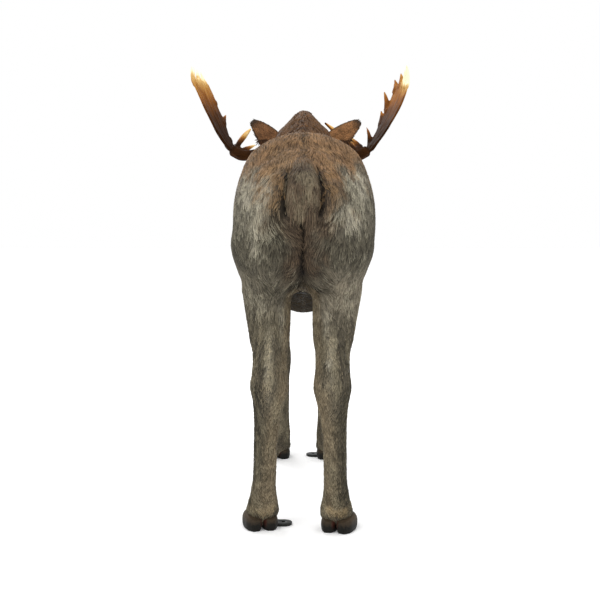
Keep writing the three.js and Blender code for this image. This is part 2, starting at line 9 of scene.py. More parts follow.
import bpy
import numpy as np
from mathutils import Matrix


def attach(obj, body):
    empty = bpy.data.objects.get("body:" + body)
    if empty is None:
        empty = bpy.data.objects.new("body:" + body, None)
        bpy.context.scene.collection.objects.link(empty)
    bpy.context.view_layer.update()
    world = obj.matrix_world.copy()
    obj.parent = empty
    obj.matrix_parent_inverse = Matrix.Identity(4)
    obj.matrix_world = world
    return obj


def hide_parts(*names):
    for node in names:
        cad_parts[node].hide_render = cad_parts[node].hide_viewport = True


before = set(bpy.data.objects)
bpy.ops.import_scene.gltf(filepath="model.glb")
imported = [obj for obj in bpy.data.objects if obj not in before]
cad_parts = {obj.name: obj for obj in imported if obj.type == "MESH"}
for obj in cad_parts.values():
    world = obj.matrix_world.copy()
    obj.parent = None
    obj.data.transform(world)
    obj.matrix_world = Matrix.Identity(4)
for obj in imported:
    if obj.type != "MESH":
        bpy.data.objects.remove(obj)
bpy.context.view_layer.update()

# ---- Sizes shared by the pieces ------------------------------------------------------------------
ORIGIN = np.array([0.016376, -0.368899, 0.0])
MM = 0.001
COAT_DEPTH = 7.0  # the skin lies this far inside the coat's outline
POLL = np.array([0.0, 1150.0, 1752.0])
HEAD_SLOPE = math.radians(37)
HEAD_YAW = math.radians(3.5)
HEAD_OFFSET_X = -16.0
HEEL_Y = {"hind": -812.0, "fore": 632.0}
FOOT_LENGTH = 205.0
FULL_STANCE_Z = 1500.0
SKIN_VOXEL = 0.0128
ANTLER_VOXEL = 0.0042
EAR_ROWS, EAR_COLS = 44, 40
TAIL_X = -6.0
EYE_RADIUS = 20.0
rng = np.random.default_rng(46)

LEGS = {
    "hindleg_left": dict(side=-1, kind="hind", outward=22, toe_out=14, ahead=18),
    "hindleg_right": dict(side=1, kind="hind", outward=-22, toe_out=17, ahead=-18),
    "foreleg_left": dict(side=-1, kind="fore", outward=0, toe_out=8, ahead=10),
    "foreleg_right": dict(side=1, kind="fore", outward=0, toe_out=8, ahead=-4),
}

# Stations: x, y, z of the middle, half widths to the side, fore and aft, and the squareness of each half.
TRUNK = [
    [0, -930, 1470, 168, 160, 150, 2.1, 2],
    [0, -865, 1440, 245, 262, 225, 2.1, 2],
    [0, -760, 1398, 303, 358, 300, 2.15, 2],
    [0, -620, 1370, 323, 406, 325, 2.25, 2],
    [0, -430, 1364, 310, 402, 330, 2.1, 2],
    [0, -230, 1358, 292, 400, 375, 2, 2],
    [0, 0, 1354, 300, 440, 438, 1.85, 2],
    [0, 200, 1358, 300, 516, 482, 1.6, 2],
    [0, 380, 1366, 286, 577, 494, 1.48, 2.05],
    [0, 520, 1372, 268, 577, 466, 1.48, 2.05],
    [0, 660, 1388, 242, 482, 376, 1.7, 2],
    [0, 790, 1412, 192, 350, 266, 2, 2],
]
NECK = [
    [0, 520, 1440, 218, 400, 360, 2, 2],
    [0, 680, 1490, 204, 350, 330, 1.8, 1.8],
    [0, 820, 1550, 176, 280, 290, 1.8, 1.7],
    [0, 950, 1610, 152, 222, 250, 1.9, 1.7],
    [0, 1070, 1665, 132, 172, 215, 2, 2],
    [0, 1180, 1700, 112, 132, 172, 2, 2],
]
# Head and jaw: how far along the face, above its axis, then the half widths to the side, top and bottom.
HEAD = [
    [-60, 0, 88, 94, 130, 2, 2],
    [0, 0, 106, 112, 150, 2.1, 2],
    [85, 0, 116, 114, 172, 2.3, 1.8],
    [170, 0, 114, 104, 172, 2.4, 1.7],
    [260, -4, 96, 88, 150, 2.3, 1.7],
    [355, -8, 82, 82, 124, 2.2, 1.9],
    [450, -8, 80, 84, 112, 2.2, 2],
    [540, -6, 88, 96, 116, 2.3, 2.2],
    [615, -10, 96, 102, 124, 2.5, 2.4],
    [680, -22, 92, 96, 116, 2.6, 2.5],
    [722, -44, 76, 76, 96, 2.4, 2.4],
]
JAW = [
    [60, -70, 60, 40, 60, 2, 2],
    [200, -84, 54, 40, 62, 2, 1.9],
    [340, -78, 44, 34, 44, 2, 2],
    [470, -68, 40, 30, 38, 2, 2],
    [570, -62, 44, 30, 40, 2.2, 2],
    [632, -52, 40, 26, 36, 2.2, 2],
]
# Legs: height, distance from the midline, y, then the half widths.
HINDLEG = [
    [1440, 148, -640, 126, 190, 270, 2, 2],
    [1290, 158, -655, 156, 245, 312, 2, 2],
    [1185, 147, -655, 143, 255, 305, 2, 2],
    [1128, 143, -658, 137, 245, 288, 2, 2],
    [1092, 153, -662, 115, 236, 270, 2, 2],
    [1005, 151, -688, 102, 208, 215, 2, 2],
    [930, 144, -730, 92, 158, 158, 2, 1.8],
    [860, 139, -775, 85, 110, 118, 2, 1.7],
    [795, 137, -812, 77, 86, 98, 2, 1.6],
    [730, 137, -838, 76, 82, 104, 2, 1.7],
    [665, 137, -848, 82, 82, 102, 2.1, 1.9],
    [583, 140, -847, 69, 64, 84, 2, 2],
    [495, 146, -838, 58, 52, 66, 2, 2],
    [400, 151, -826, 54, 49, 60, 2, 2],
    [280, 155, -808, 53, 49, 58, 2, 2],
    [205, 159, -790, 54, 52, 60, 2, 2],
    [135, 162, -762, 64, 62, 66, 2, 2],
    [95, 164, -742, 71, 62, 65, 2, 2],
    [55, 169, -714, 73, 60, 66, 2, 2],
    [22, 171, -698, 54, 52, 54, 2, 2],
]
FORELEG = [
    [1560, 120, 500, 80, 130, 130, 2, 2],
    [1380, 168, 575, 104, 190, 180, 2, 2],
    [1200, 166, 595, 104, 190, 190, 2, 2],
    [1060, 156, 590, 92, 145, 172, 2, 2],
    [950, 147, 592, 78, 105, 130, 2, 2],
    [840, 141, 605, 66, 82, 90, 2, 2],
    [730, 136, 615, 60, 68, 72, 2, 2],
    [640, 135, 624, 62, 66, 62, 2, 2],
    [575, 134, 630, 67, 68, 60, 2, 2],
    [500, 133, 626, 58, 54, 54, 2, 2],
    [380, 132, 624, 53, 46, 52, 2, 2],
    [250, 133, 626, 53, 48, 54, 2, 2],
    [165, 137, 636, 62, 58, 62, 2, 2],
    [115, 141, 662, 64, 58, 61, 2, 2],
    [62, 146, 700, 69, 58, 61, 2, 2],
    [24, 150, 722, 48, 50, 52, 2, 2],
]
TAIL = [
    [TAIL_X, -790, 1626, 46, 30, 40, 2, 2],
    [TAIL_X, -866, 1598, 54, 34, 40, 2, 2],
    [TAIL_X, -930, 1566, 62, 32, 36, 2.1, 2.1],
    [TAIL_X, -980, 1520, 69, 32, 32, 2.2, 2.2],
    [TAIL_X, -1003, 1480, 71, 30, 28, 2.3, 2.2],
    [TAIL_X, -1000, 1444, 60, 26, 22, 2.2, 2.2],
]
BELL = [
    [0, 1090, 1520, 38, 66, 66, 2, 2],
    [0, 1102, 1430, 36, 66, 54, 2, 2],
    [0, 1112, 1350, 32, 54, 42, 2, 2],
    [0, 1118, 1270, 25, 38, 31, 2, 2],
    [0, 1120, 1205, 14, 20, 19, 2, 2],
]
EARS = {
    "left": dict(root=[-84, 1158, 1712], tip=[-291, 1128, 1928], width=184),
    "right": dict(root=[90, 1158, 1712], tip=[352, 1128, 1928], width=184),
}


# ---- Curves and lofts ----------------------------------------------------------------------------
def spline(rows, u):
    """Catmull-Rom through the rows at even steps of u from 0 to 1: (values, slopes)."""
    rows = np.asarray(rows, float)
    padded = np.vstack([2 * rows[0] - rows[1], rows, 2 * rows[-1] - rows[-2]])
    spans = len(rows) - 1
    at = np.clip(np.asarray(u, float), 0, 1) * spans
    cell = np.minimum(at.astype(int), spans - 1)
    t = (at - cell)[:, None]
    p0, p1, p2, p3 = (padded[cell + k] for k in range(4))
    m1, m2 = (p2 - p0) / 2, (p3 - p1) / 2
    a = 2 * p1 - 2 * p2 + m1 + m2
    b = -3 * p1 + 3 * p2 - 2 * m1 - m2
    return ((a * t + b) * t + m1) * t + p1, (3 * a * t + 2 * b) * t + m1


def unit(v):
    """v with each row scaled to length 1."""
    return v / np.maximum(np.linalg.norm(v, axis=-1, keepdims=True), 1e-9)


def smoothstep(low, high, x):
    """0 below low, 1 above high, an S between."""
    t = np.clip((x - low) / (high - low), 0, 1)
    return t * t * (3 - 2 * t)


def tube(rings, around):
    """The quads and end triangles of a closed tube of rings, whose two end points come last."""
    j = np.arange(around)
    r = np.arange(rings - 1)[:, None] * around
    quad = np.stack([r + j, r + around + j, r + around + (j + 1) % around, r + (j + 1) % around], -1)
    quad = quad.reshape(-1, 4)
    first, last = rings * around, rings * around + 1
    end = (rings - 1) * around
    caps = np.concatenate([
        np.stack([np.full(around, first), j, (j + 1) % around], -1),
        np.stack([np.full(around, last), end + (j + 1) % around, end + j], -1),
    ])
    return quad, caps


def loft(stations, around=48, spans=6, domes=(0, 0), across=(1, 0, 0), inset=0.0):
    """A closed skin through ovals set across a path: (vertices, quads, triangles).

    A ring is middle + side * half_side * cos^(2/p) + fore * half * sin^(2/p), where p is the squareness. Each
    dome adds rings whose size falls as cos while they move out as sin. inset thins every half width.
    """
    st = np.asarray(stations, float)
    steps = (len(st) - 1) * spans
    u = np.arange(steps + 1) / steps
    shift, scale = np.zeros_like(u), np.ones_like(u)
    phi = np.linspace(0, math.pi / 2, 7)[1:-1]
    if domes[0]:
        u = np.r_[np.zeros(5), u]
        shift, scale = np.r_[-domes[0] * np.sin(phi[::-1]), shift], np.r_[np.cos(phi[::-1]), scale]
    if domes[1]:
        u = np.r_[u, np.ones(5)]
        shift, scale = np.r_[shift, domes[1] * np.sin(phi)], np.r_[scale, np.cos(phi)]
    values, slopes = spline(st, u)
    tangent = unit(slopes[:, :3])
    side = np.asarray(across, float)
    side = unit(side - tangent * (tangent @ side)[:, None])
    fore = np.cross(side, tangent)
    middle = values[:, :3] + tangent * shift[:, None]
    half = np.maximum(values[:, 3:6] - inset, 2.0) * scale[:, None]
    angle = 2 * math.pi * np.arange(around) / around
    c, s = np.cos(angle), np.sin(angle)
    power = 2 / np.where(s >= 0, values[:, 6:7], values[:, 7:8])
    a = np.sign(c) * np.abs(c) ** power * half[:, :1]
    b = np.sign(s) * np.abs(s) ** power * np.where(s >= 0, half[:, 1:2], half[:, 2:3])
    rings = middle[:, None] + side[:, None] * a[..., None] + fore[:, None] * b[..., None]
    ends = np.stack([middle[0] - tangent[0] * (domes[0] + shift[0]) * (domes[0] > 0),
                     middle[-1] + tangent[-1] * (domes[1] - shift[-1]) * (domes[1] > 0)])
    return np.vstack([rings.reshape(-1, 3), ends]), *tube(len(rings), around)


def plate(point, thickness, rows=40, cols=28):
    """A closed curved plate: its middle surface point(u, v) moved both ways along its normal."""
    u, v = np.meshgrid(np.linspace(0, 1, rows + 1), np.linspace(0, 1, cols + 1), indexing="ij")
    step = 1e-3
    across = np.cross(point(np.clip(u + step, 0, 1), v) - point(np.clip(u - step, 0, 1), v),
                      point(u, np.clip(v + step, 0, 1)) - point(u, np.clip(v - step, 0, 1)))
    move = unit(across) * thickness(u, v)[..., None] / 2
    middle = point(u, v)
    verts = np.concatenate([(middle + move).reshape(-1, 3), (middle - move).reshape(-1, 3)])
    n = (rows + 1) * (cols + 1)
    grid = np.arange(n).reshape(rows + 1, cols + 1)
    a, b, c, d = grid[:-1, :-1].ravel(), grid[1:, :-1].ravel(), grid[1:, 1:].ravel(), grid[:-1, 1:].ravel()
    quads = [np.stack([a, b, c, d], -1), np.stack([d, c, b, a], -1) + n]
    rim = np.concatenate([grid[:-1, 0], grid[-1, :-1], grid[:0:-1, -1], grid[0, :0:-1]])
    nxt = np.roll(rim, -1)
    quads.append(np.stack([rim, rim + n, nxt + n, nxt], -1))
    return verts, np.concatenate(quads), np.zeros((0, 3), int)


def merge(solids):
    """Several (vertices, quads, triangles) as one."""
    verts, quads, tris, count = [], [], [], 0
    for v, q, t in solids:
        verts.append(v)
        quads.append(q + count)
        tris.append(t + count)
        count += len(v)
    return np.vstack(verts), np.vstack(quads), np.vstack(tris)


def make_mesh(name, verts, quads=None, tris=None):
    """A mesh from vertices in metres, quads and triangles, with no Python loop."""
    quads = np.zeros((0, 4), int) if quads is None else quads
    tris = np.zeros((0, 3), int) if tris is None else tris
    me = bpy.data.meshes.new(name)
    me.vertices.add(len(verts))
    me.vertices.foreach_set("co", np.asarray(verts, np.float32).ravel())
    loops = np.r_[quads.ravel(), tris.ravel()].astype(np.int32)
    totals = np.r_[np.full(len(quads), 4), np.full(len(tris), 3)].astype(np.int32)
    me.loops.add(len(loops))
    me.loops.foreach_set("vertex_index", loops)
    me.polygons.add(len(totals))
    me.polygons.foreach_set("loop_start", np.r_[0, np.cumsum(totals)[:-1]].astype(np.int32))
    me.polygons.foreach_set("loop_total", totals)
    me.update(calc_edges=True)
    me.validate()
    return me


def make_object(name, mesh, material=None, smooth=True):
    """An object at the origin that holds the mesh and its material."""
    ob = bpy.data.objects.new(name, mesh)
    bpy.context.scene.collection.objects.link(ob)
    if material:
        mesh.materials.append(material)
    mesh.polygons.foreach_set("use_smooth", np.full(len(mesh.polygons), smooth))
    return ob


def read(items, field, width=1, kind=np.float32):
    """One field of a mesh's vertices, edges or corners, with a row for each."""
    values = np.empty(len(items) * width, kind)
    items.foreach_get(field, values)
    return values.reshape(-1, width) if width > 1 else values


def edge_pairs(mesh):
    """The mesh's edges as pairs of vertex numbers."""
    return read(mesh.edges, "vertices", 2, np.int32)


def corner_vertices(mesh):
    """The vertex number at each corner of the mesh's faces."""
    return read(mesh.loops, "vertex_index", 1, np.int32)


def relax(values, edges, rounds, amount):
    """Moves each value towards the mean of its neighbours, amount of the way, rounds times."""
    count = len(values)
    a, b = np.r_[edges[:, 0], edges[:, 1]], np.r_[edges[:, 1], edges[:, 0]]
    degree = np.maximum(np.bincount(a, minlength=count), 1)[:, None]
    amount = np.broadcast_to(np.asarray(amount, float).reshape(-1, 1), (count, 1))
    for _ in range(rounds):
        total = np.stack([np.bincount(a, values[b, k], count) for k in range(values.shape[1])], -1)
        values = values + amount * (total / degree - values)
    return values


def voxel_skin(name, solid, voxel, warp=None, unwarp=None):
    """The overlapping solids of a body as one even skin. warp enlarges places that need finer faces."""
    verts, quads, tris = solid
    made = make_mesh(name + "_blank", warp(verts) if warp else verts, quads, tris)
    ob = make_object(name + "_blank", made)
    mod = ob.modifiers.new("skin", "REMESH")
    mod.mode = "VOXEL"
    mod.voxel_size = voxel
    mod.adaptivity = 0.0
    evaluated = ob.evaluated_get(bpy.context.evaluated_depsgraph_get())
    skin = bpy.data.meshes.new_from_object(evaluated)
    bpy.data.objects.remove(ob)
    bpy.data.meshes.remove(made)
    skin.name = name
    places = read(skin.vertices, "co", 3).astype(float)
    if unwarp:
        places = unwarp(places)
    return skin, places


# ---- The head's own frame ------------------------------------------------------------------------
FACE_ALONG = np.array([0, math.cos(HEAD_SLOPE), -math.sin(HEAD_SLOPE)])
FACE_UP = np.array([0, math.sin(HEAD_SLOPE), math.cos(HEAD_SLOPE)])
YAW_COS, YAW_SIN = math.cos(HEAD_YAW), math.sin(HEAD_YAW)
TURN = np.array([[YAW_COS, -YAW_SIN, 0], [YAW_SIN, YAW_COS, 0], [0, 0, 1]])


def turn_head(points):
    """Places on a head that looks straight ahead, turned to where this head looks."""
    return (points - POLL) @ TURN.T + POLL + [HEAD_OFFSET_X, 0, 0]


def to_head(points):
    """Body places as (side, along the face, above its axis)."""
    p = (points - POLL - [HEAD_OFFSET_X, 0, 0]) @ TURN
    return np.stack([p[:, 0], p @ FACE_ALONG, p @ FACE_UP], -1)


def from_head(points):
    """(side, along the face, above its axis) as body places."""
    p = np.atleast_2d(np.asarray(points, float))
    straight = POLL + p[:, :1] * [1, 0, 0] + p[:, 1:2] * FACE_ALONG + p[:, 2:3] * FACE_UP
    return turn_head(straight)


def head_stations(rows):
    """Head rows as loft stations, before the head is turned."""
    rows = np.asarray(rows, float)
    middle = POLL + rows[:, :1] * FACE_ALONG + rows[:, 1:2] * FACE_UP
    return np.hstack([middle, rows[:, 2:]])


def leg_stations(leg):
    """A leg's rows with its own stance."""
    rows = np.asarray(HINDLEG if leg["kind"] == "hind" else FORELEG, float)
    low = np.maximum(0, 1 - rows[:, 0] / FULL_STANCE_Z) ** 0.6
    x = leg["side"] * (rows[:, 1] + leg["outward"] * low)
    y = rows[:, 2] + leg["ahead"] * low
    return np.column_stack([x, y, rows[:, 0], rows[:, 3:]])


def ear_surface(ear):
    """The middle surface of an ear: a leaf, half as wide as a sine of its length, curled about its axis."""
    root, tip = (turn_head(np.array([ear[k]], float))[0] for k in ("root", "tip"))
    axis = tip - root
    faces = np.array([math.copysign(0.35, ear["root"][0]), 1, -0.1])
    open_way = unit((faces - axis * (faces @ axis) / (axis @ axis))[None])[0]
    across = np.cross(unit(axis[None])[0], open_way)

    def point(u, v):
        angle = (2 * v - 1) * 1.15 * (1 - 0.55 * u)
        form = np.sin(math.pi * (0.12 + 0.8 * np.clip(u, 0, 1) ** 1.25)) ** 0.6
        radius = ear["width"] / 2 * np.maximum(0.06, form)
        return (root + axis * u[..., None] + across * (radius * np.sin(angle))[..., None]
                - open_way * (radius * 0.8 * (np.cos(angle) - 0.35))[..., None])

    return point


# ---- The skin --------------------------------------------------------------------------------------
HEAD_HUB = from_head([[0, 330, -20]])[0] * MM  # middle of the space that is magnified for finer faces
FINE_REACH = 0.45
SPREAD_FROM = [0, FINE_REACH, 3 * FINE_REACH, 9]
SPREAD_TO = [0, 2 * FINE_REACH, 3 * FINE_REACH, 9]


def move_radii(points, before, after):
    """Places moved straight out from the head's middle, so that radii in before become those in after."""
    away = points - HEAD_HUB
    r = np.linalg.norm(away, axis=1, keepdims=True)
    return HEAD_HUB + away * np.interp(r, before, after) / np.maximum(r, 1e-9)


def head_loft(rows, **options):
    """A loft of head rows, turned as the head is."""
    v, q, t = loft(head_stations(rows), **options)
    return turn_head(v), q, t


def flesh_solids():
    """All the flesh as overlapping closed solids, thinner than the outline by the coat's depth."""
    depth = dict(inset=COAT_DEPTH)
    return merge([
        loft(TRUNK, around=96, spans=8, domes=(48, 60), **depth),
        loft(NECK, around=80, spans=8, **depth),
        head_loft(HEAD, around=72, spans=8, domes=(0, 24), inset=1.5),
        head_loft(JAW, around=48, spans=8, domes=(0, 22), inset=1.5),
        loft(TAIL, around=48, spans=8, domes=(0, 22), **depth),
        loft(BELL, around=40, spans=8, domes=(0, 12), **depth),
        *[loft(leg_stations(leg), around=56, spans=8, inset=0.5) for leg in LEGS.values()],
    ])


blank_mesh, blank = voxel_skin(
    "skin", flesh_solids(), SKIN_VOXEL,
    lambda p: move_radii(p * MM, SPREAD_FROM, SPREAD_TO),
    lambda p: move_radii(p, SPREAD_TO, SPREAD_FROM) / MM,
)
on_face = smoothstep(-20, 60, to_head(blank)[:, 1])
blank = relax(blank, edge_pairs(blank_mesh), 8, 0.5 - 0.35 * on_face)
blank_quads = corner_vertices(blank_mesh).reshape(-1, 4)


def ear_thickness(u, v):
    """An ear's thickness: stout at its root, thin at its tip and rims."""
    return (17 - 8 * u) * (0.35 + 0.65 * np.sin(math.pi * np.clip(v, 0.03, 0.97)) ** 0.5)


ears = [plate(ear_surface(ear), ear_thickness, rows=EAR_ROWS, cols=EAR_COLS) for ear in EARS.values()]
no_tris = np.zeros((0, 3), int)
skin, quads, _ = merge([(blank, blank_quads, no_tris), *[(v, q, no_tris) for v, q, _ in ears]])
bpy.data.meshes.remove(blank_mesh)
skin_mesh = make_mesh("skin", skin, quads)
edges = edge_pairs(skin_mesh)
on_face = smoothstep(-20, 60, to_head(skin)[:, 1])
ear_u, ear_v = np.meshgrid(
    np.linspace(0, 1, EAR_ROWS + 1), np.linspace(0, 1, EAR_COLS + 1), indexing="ij")
not_ear = np.zeros(len(blank))
skin_ear_u = np.r_[not_ear, np.tile(ear_u.ravel(), 4)]
skin_ear_v = np.r_[not_ear, np.tile(ear_v.ravel(), 4)]


def set_places(mesh, places):
    """Puts body places in millimetres into a mesh, in the frame's metres."""
    mesh.vertices.foreach_set("co", (places * MM + ORIGIN).astype(np.float32).ravel())
    mesh.update()


def normals_of(mesh):
    """The mesh's vertex normals."""
    return read(mesh.vertex_normals, "vector", 3).astype(float)


set_places(skin_mesh, skin)


# ---- Modelling the forms of the body ---------------------------------------------------------------
def line_distance(points, line, weights=(1, 1, 1)):
    """How far each point is from a line of straight lengths, and how far along it, from 0 to 1."""
    w = np.asarray(weights, float)
    line = np.asarray(line, float)
    if len(line) == 1:
        return np.linalg.norm((points - line[0]) * w, axis=1), np.zeros(len(points))
    best, share = np.full(len(points), 1e9), np.zeros(len(points))
    for k, (a, b) in enumerate(zip(line[:-1] * w, line[1:] * w)):
        t = np.clip((points * w - a) @ (b - a) / max((b - a) @ (b - a), 1e-9), 0, 1)
        d = np.linalg.norm(points * w - a - t[:, None] * (b - a), axis=1)
        near = d < best
        best = np.where(near, d, best)
        share = np.where(near, (k + t) / (len(line) - 1), share)
    return best, share


def stroke(points, line, width, height, weights=(1, 1, 1)):
    """A rounded ridge, or a groove where height is below 0: height * exp(-(distance / width)^2)."""
    return height * np.exp(-((line_distance(points, line, weights)[0] / width) ** 2))


def mirrored(line):
    """The same line on the other side."""
    return [[-x, y, z] for x, y, z in line]


def on_leg(leg, marks):
    """Places on a leg from (height, turn): a turn of 0 is straight out, 90 ahead, 180 in and 270 back."""
    rows = leg_stations(leg)
    order = np.argsort(rows[:, 2])
    z, turn = np.array(marks, float).T
    at = np.stack([np.interp(z, rows[order, 2], rows[order, k]) for k in range(6)], -1)
    c, s = np.cos(np.radians(turn)), np.sin(np.radians(turn))
    x = at[:, 0] + leg["side"] * c * at[:, 3]
    y = at[:, 1] + s * np.where(s > 0, at[:, 4], at[:, 5])
    return np.stack([x, y, z], -1)


# Ridges (+) and grooves (-) in millimetres: line, width, height. Those of the trunk are made on both sides.
TRUNK_FORMS = [
    ([[98, -945, 1520], [92, -965, 1430]], 42, 9),  # seat bones
    ([[205, -600, 1655]], 80, 12),  # hips
    ([[232, -905, 1480], [245, -880, 1330], [215, -850, 1180]], 26, -9),  # behind the thigh muscle
    ([[150, -975, 1380], [150, -960, 1240]], 55, 8),
    ([[300, -470, 1150], [306, -400, 1290], [262, -330, 1430]], 34, -12),  # flank fold
    ([[322, -600, 1230]], 95, 9),  # stifle muscle
    ([[150, 420, 1850], [262, 520, 1560], [262, 610, 1380]], 46, 9),  # shoulder blade
    ([[268, 300, 1500], [262, 360, 1290], [226, 400, 1130]], 36, -13),  # behind the shoulder
    ([[236, 480, 1230]], 70, 12),  # upper arm
    ([[205, 700, 1560], [215, 690, 1380]], 40, -9),  # shoulder to neck
    ([[150, 860, 1480], [120, 990, 1520], [100, 1090, 1560]], 30, -7),  # throat
    ([[0, 760, 1150], [0, 830, 1260]], 60, 8),  # brisket
    ([[126, 230, 1826], [134, 460, 1836]], 40, 12),  # foot of the hump
]
HINDLEG_FORMS = [
    ([[1000, 270], [900, 270], [800, 270], [705, 270]], 20, 9),  # the tendon down to the hock's point
    ([[980, 222], [880, 218], [770, 215]], 19, -10),
    ([[980, 318], [880, 322], [770, 325]], 19, -10),
    ([[690, 270]], 26, 6),
    ([[652, 5]], 34, 5),
    ([[652, 175]], 34, 5),
    ([[1080, 340], [960, 350], [860, 0]], 30, 6),
    ([[1080, 200], [960, 190], [860, 185]], 26, 5),
    ([[600, 228], [420, 232], [260, 232]], 11, -5),
    ([[600, 312], [420, 308], [260, 308]], 11, -5),
    ([[212, 245]], 20, 5),
    ([[212, 295]], 20, 5),
    ([[205, 270], [150, 270], [105, 270]], 9, -4),
    ([[128, 215], [114, 270], [128, 325]], 9, -4),
]
FORELEG_FORMS = [
    ([[900, 270], [700, 262], [640, 270]], 24, 4),
    ([[620, 90]], 34, 5),
    ([[560, 270], [400, 270], [240, 270]], 13, 3),
    ([[540, 225], [380, 228], [240, 228]], 10, -4),
    ([[540, 315], [380, 312], [240, 312]], 10, -4),
    ([[170, 245]], 20, 4),
    ([[170, 295]], 20, 4),
    ([[112, 215], [100, 270], [112, 325]], 9, -4),
]
# The head's forms, in its own side, along and up, made on both sides.
EYE_AT = (98, 158, 42)
NOSTRIL_LINE = [[90, 634, -2], [87, 670, -14], [75, 702, -38]]
MOUTH_LINE = [
    [58, 440, -80], [62, 540, -90], [71, 620, -100], [67, 680, -106], [53, 720, -111], [0, 738, -112],
]
HEAD_FORMS = [
    ([[84, 105, 84], [88, 165, 82], [80, 215, 72]], 17, 9),  # brow
    ([[112, 150, -60], [100, 220, -78]], 52, 9),  # cheek
    ([[98, 215, -4], [84, 330, -22], [74, 440, -34]], 15, 6),  # face bone
    ([[90, 210, 30], [76, 330, 12], [70, 430, -4]], 17, -5),
    ([[92, 300, -76], [72, 420, -84]], 26, -5),
    ([[84, 565, 16], [90, 620, 12], [82, 680, 4]], 24, 5),  # wing of the nostril
    (NOSTRIL_LINE, 14, -28),
    ([[96, 616, 12], [97, 658, 20], [87, 702, 14]], 13, 7),
    ([[95, 645, -40], [86, 700, -62]], 16, 5),
    (MOUTH_LINE, 10, -20),
    ([[46, 480, -108], [50, 560, -118], [52, 630, -128], [38, 690, -132]], 15, 9),  # lower lip
    ([[0, 748, -140], [54, 724, -140]], 22, -20),
    ([[80, 540, -64], [90, 630, -76], [84, 690, -84], [60, 730, -90], [0, 748, -90]], 18, 8),  # upper lip
    ([[0, 706, 50], [0, 750, -60]], 9, -3),
    ([[60, 30, 92]], 40, 12),  # where the antler grows
    ([[0, 60, 112], [0, 250, 90]], 40, -4),
]
CLEFT_LINE = [[-9, 0, 1392], [-9, 0, 1290], [-9, 0, 1100]]
TAIL_GROOVES = [
    [[TAIL_X + s * 60, -900, 1612], [TAIL_X + s * 73, -950, 1540], [TAIL_X + s * 80, -985, 1480],
     [TAIL_X + s * 70, -985, 1415]] for s in (-1, 1)
]


def eye_rings(h):
    """Rings of lids round each eye and a hollow for the ball, from an almond distance in along and up."""
    side, along, up = h[:, 0], h[:, 1] - EYE_AT[1], h[:, 2] - EYE_AT[2]
    slant = up - 0.18 * along
    reach = np.hypot(along / 1.28, slant / np.where(slant > 0, 0.8, 0.9))
    near = (np.abs(side) > 55) & (reach < 90)
    lids = (8.5 + 2.5 * (slant > 0)) * np.exp(-(((reach - 24) / 5.5) ** 2))
    lids = lids - 5 * np.exp(-(((reach - 38) / 7) ** 2))
    return near * (lids - 13 * (1 - smoothstep(12, 20, reach)))


def paired_strokes(move, points, forms):
    """move with each form's stroke added, and its twin's on the other side."""
    for line, width, height in forms:
        move = move + stroke(points, line, width, height)
        if np.abs(np.array(line)[:, 0]).max() > 0:
            move = move + stroke(points, mirrored(line), width, height)
    return move


def body_forms(p):
    """How far each place moves out for muscles, bones, folds and openings."""
    move = paired_strokes(np.zeros(len(p)), p, TRUNK_FORMS)
    behind = smoothstep(-660, -800, p[:, 1])
    move += behind * (stroke(p, CLEFT_LINE, 9, -26, (1, 0, 1)) + stroke(p, CLEFT_LINE, 42, -11, (1, 0, 1)))
    for line in TAIL_GROOVES:
        move += smoothstep(-840, -905, p[:, 1]) * stroke(p, line, 12, -32, (1, 0, 1))
    for leg in LEGS.values():
        near_foot = smoothstep(170, 90, p[:, 2]) * (np.sign(p[:, 0]) == leg["side"])
        move += 2.0 * near_foot * (p[:, 1] * (1 if leg["kind"] == "fore" else -1) > 0)
        for marks, width, height in HINDLEG_FORMS if leg["kind"] == "hind" else FORELEG_FORMS:
            move += stroke(p, on_leg(leg, marks), width, height)
    h = to_head(p)
    in_head = smoothstep(-80, -10, h[:, 1]) * smoothstep(-230, -190, h[:, 2])
    return move + in_head * paired_strokes(eye_rings(h), h, HEAD_FORMS)


on_ear = np.arange(len(skin)) >= len(blank)
skin = skin + normals_of(skin_mesh) * (body_forms(skin) * ~on_ear)[:, None]
skin = relax(skin, edges, 2, np.where(on_ear, 0.0, 0.35 - 0.25 * on_face))
set_places(skin_mesh, skin)
normal = unit(relax(normals_of(skin_mesh), edges, 3, 0.6))


# ---- Where on the body a place is --------------------------------------------------------------------
def ear_line(name):
    """An ear's root and tip on the turned head."""
    return turn_head(np.array([EARS[name]["root"], EARS[name]["tip"]], float))


def ear_share(p, name):
    """How far along an ear a place is, from 0 at its root to 1 at its tip, and whether it is on the ear."""
    root, tip = ear_line(name)
    d = line_distance(p, [root, tip])[0]
    share = (p - root) @ (tip - root) / ((tip - root) @ (tip - root))
    return share, smoothstep(0.08, 0.2, share) * (d < 120) * (to_head(p)[:, 2] > 20)


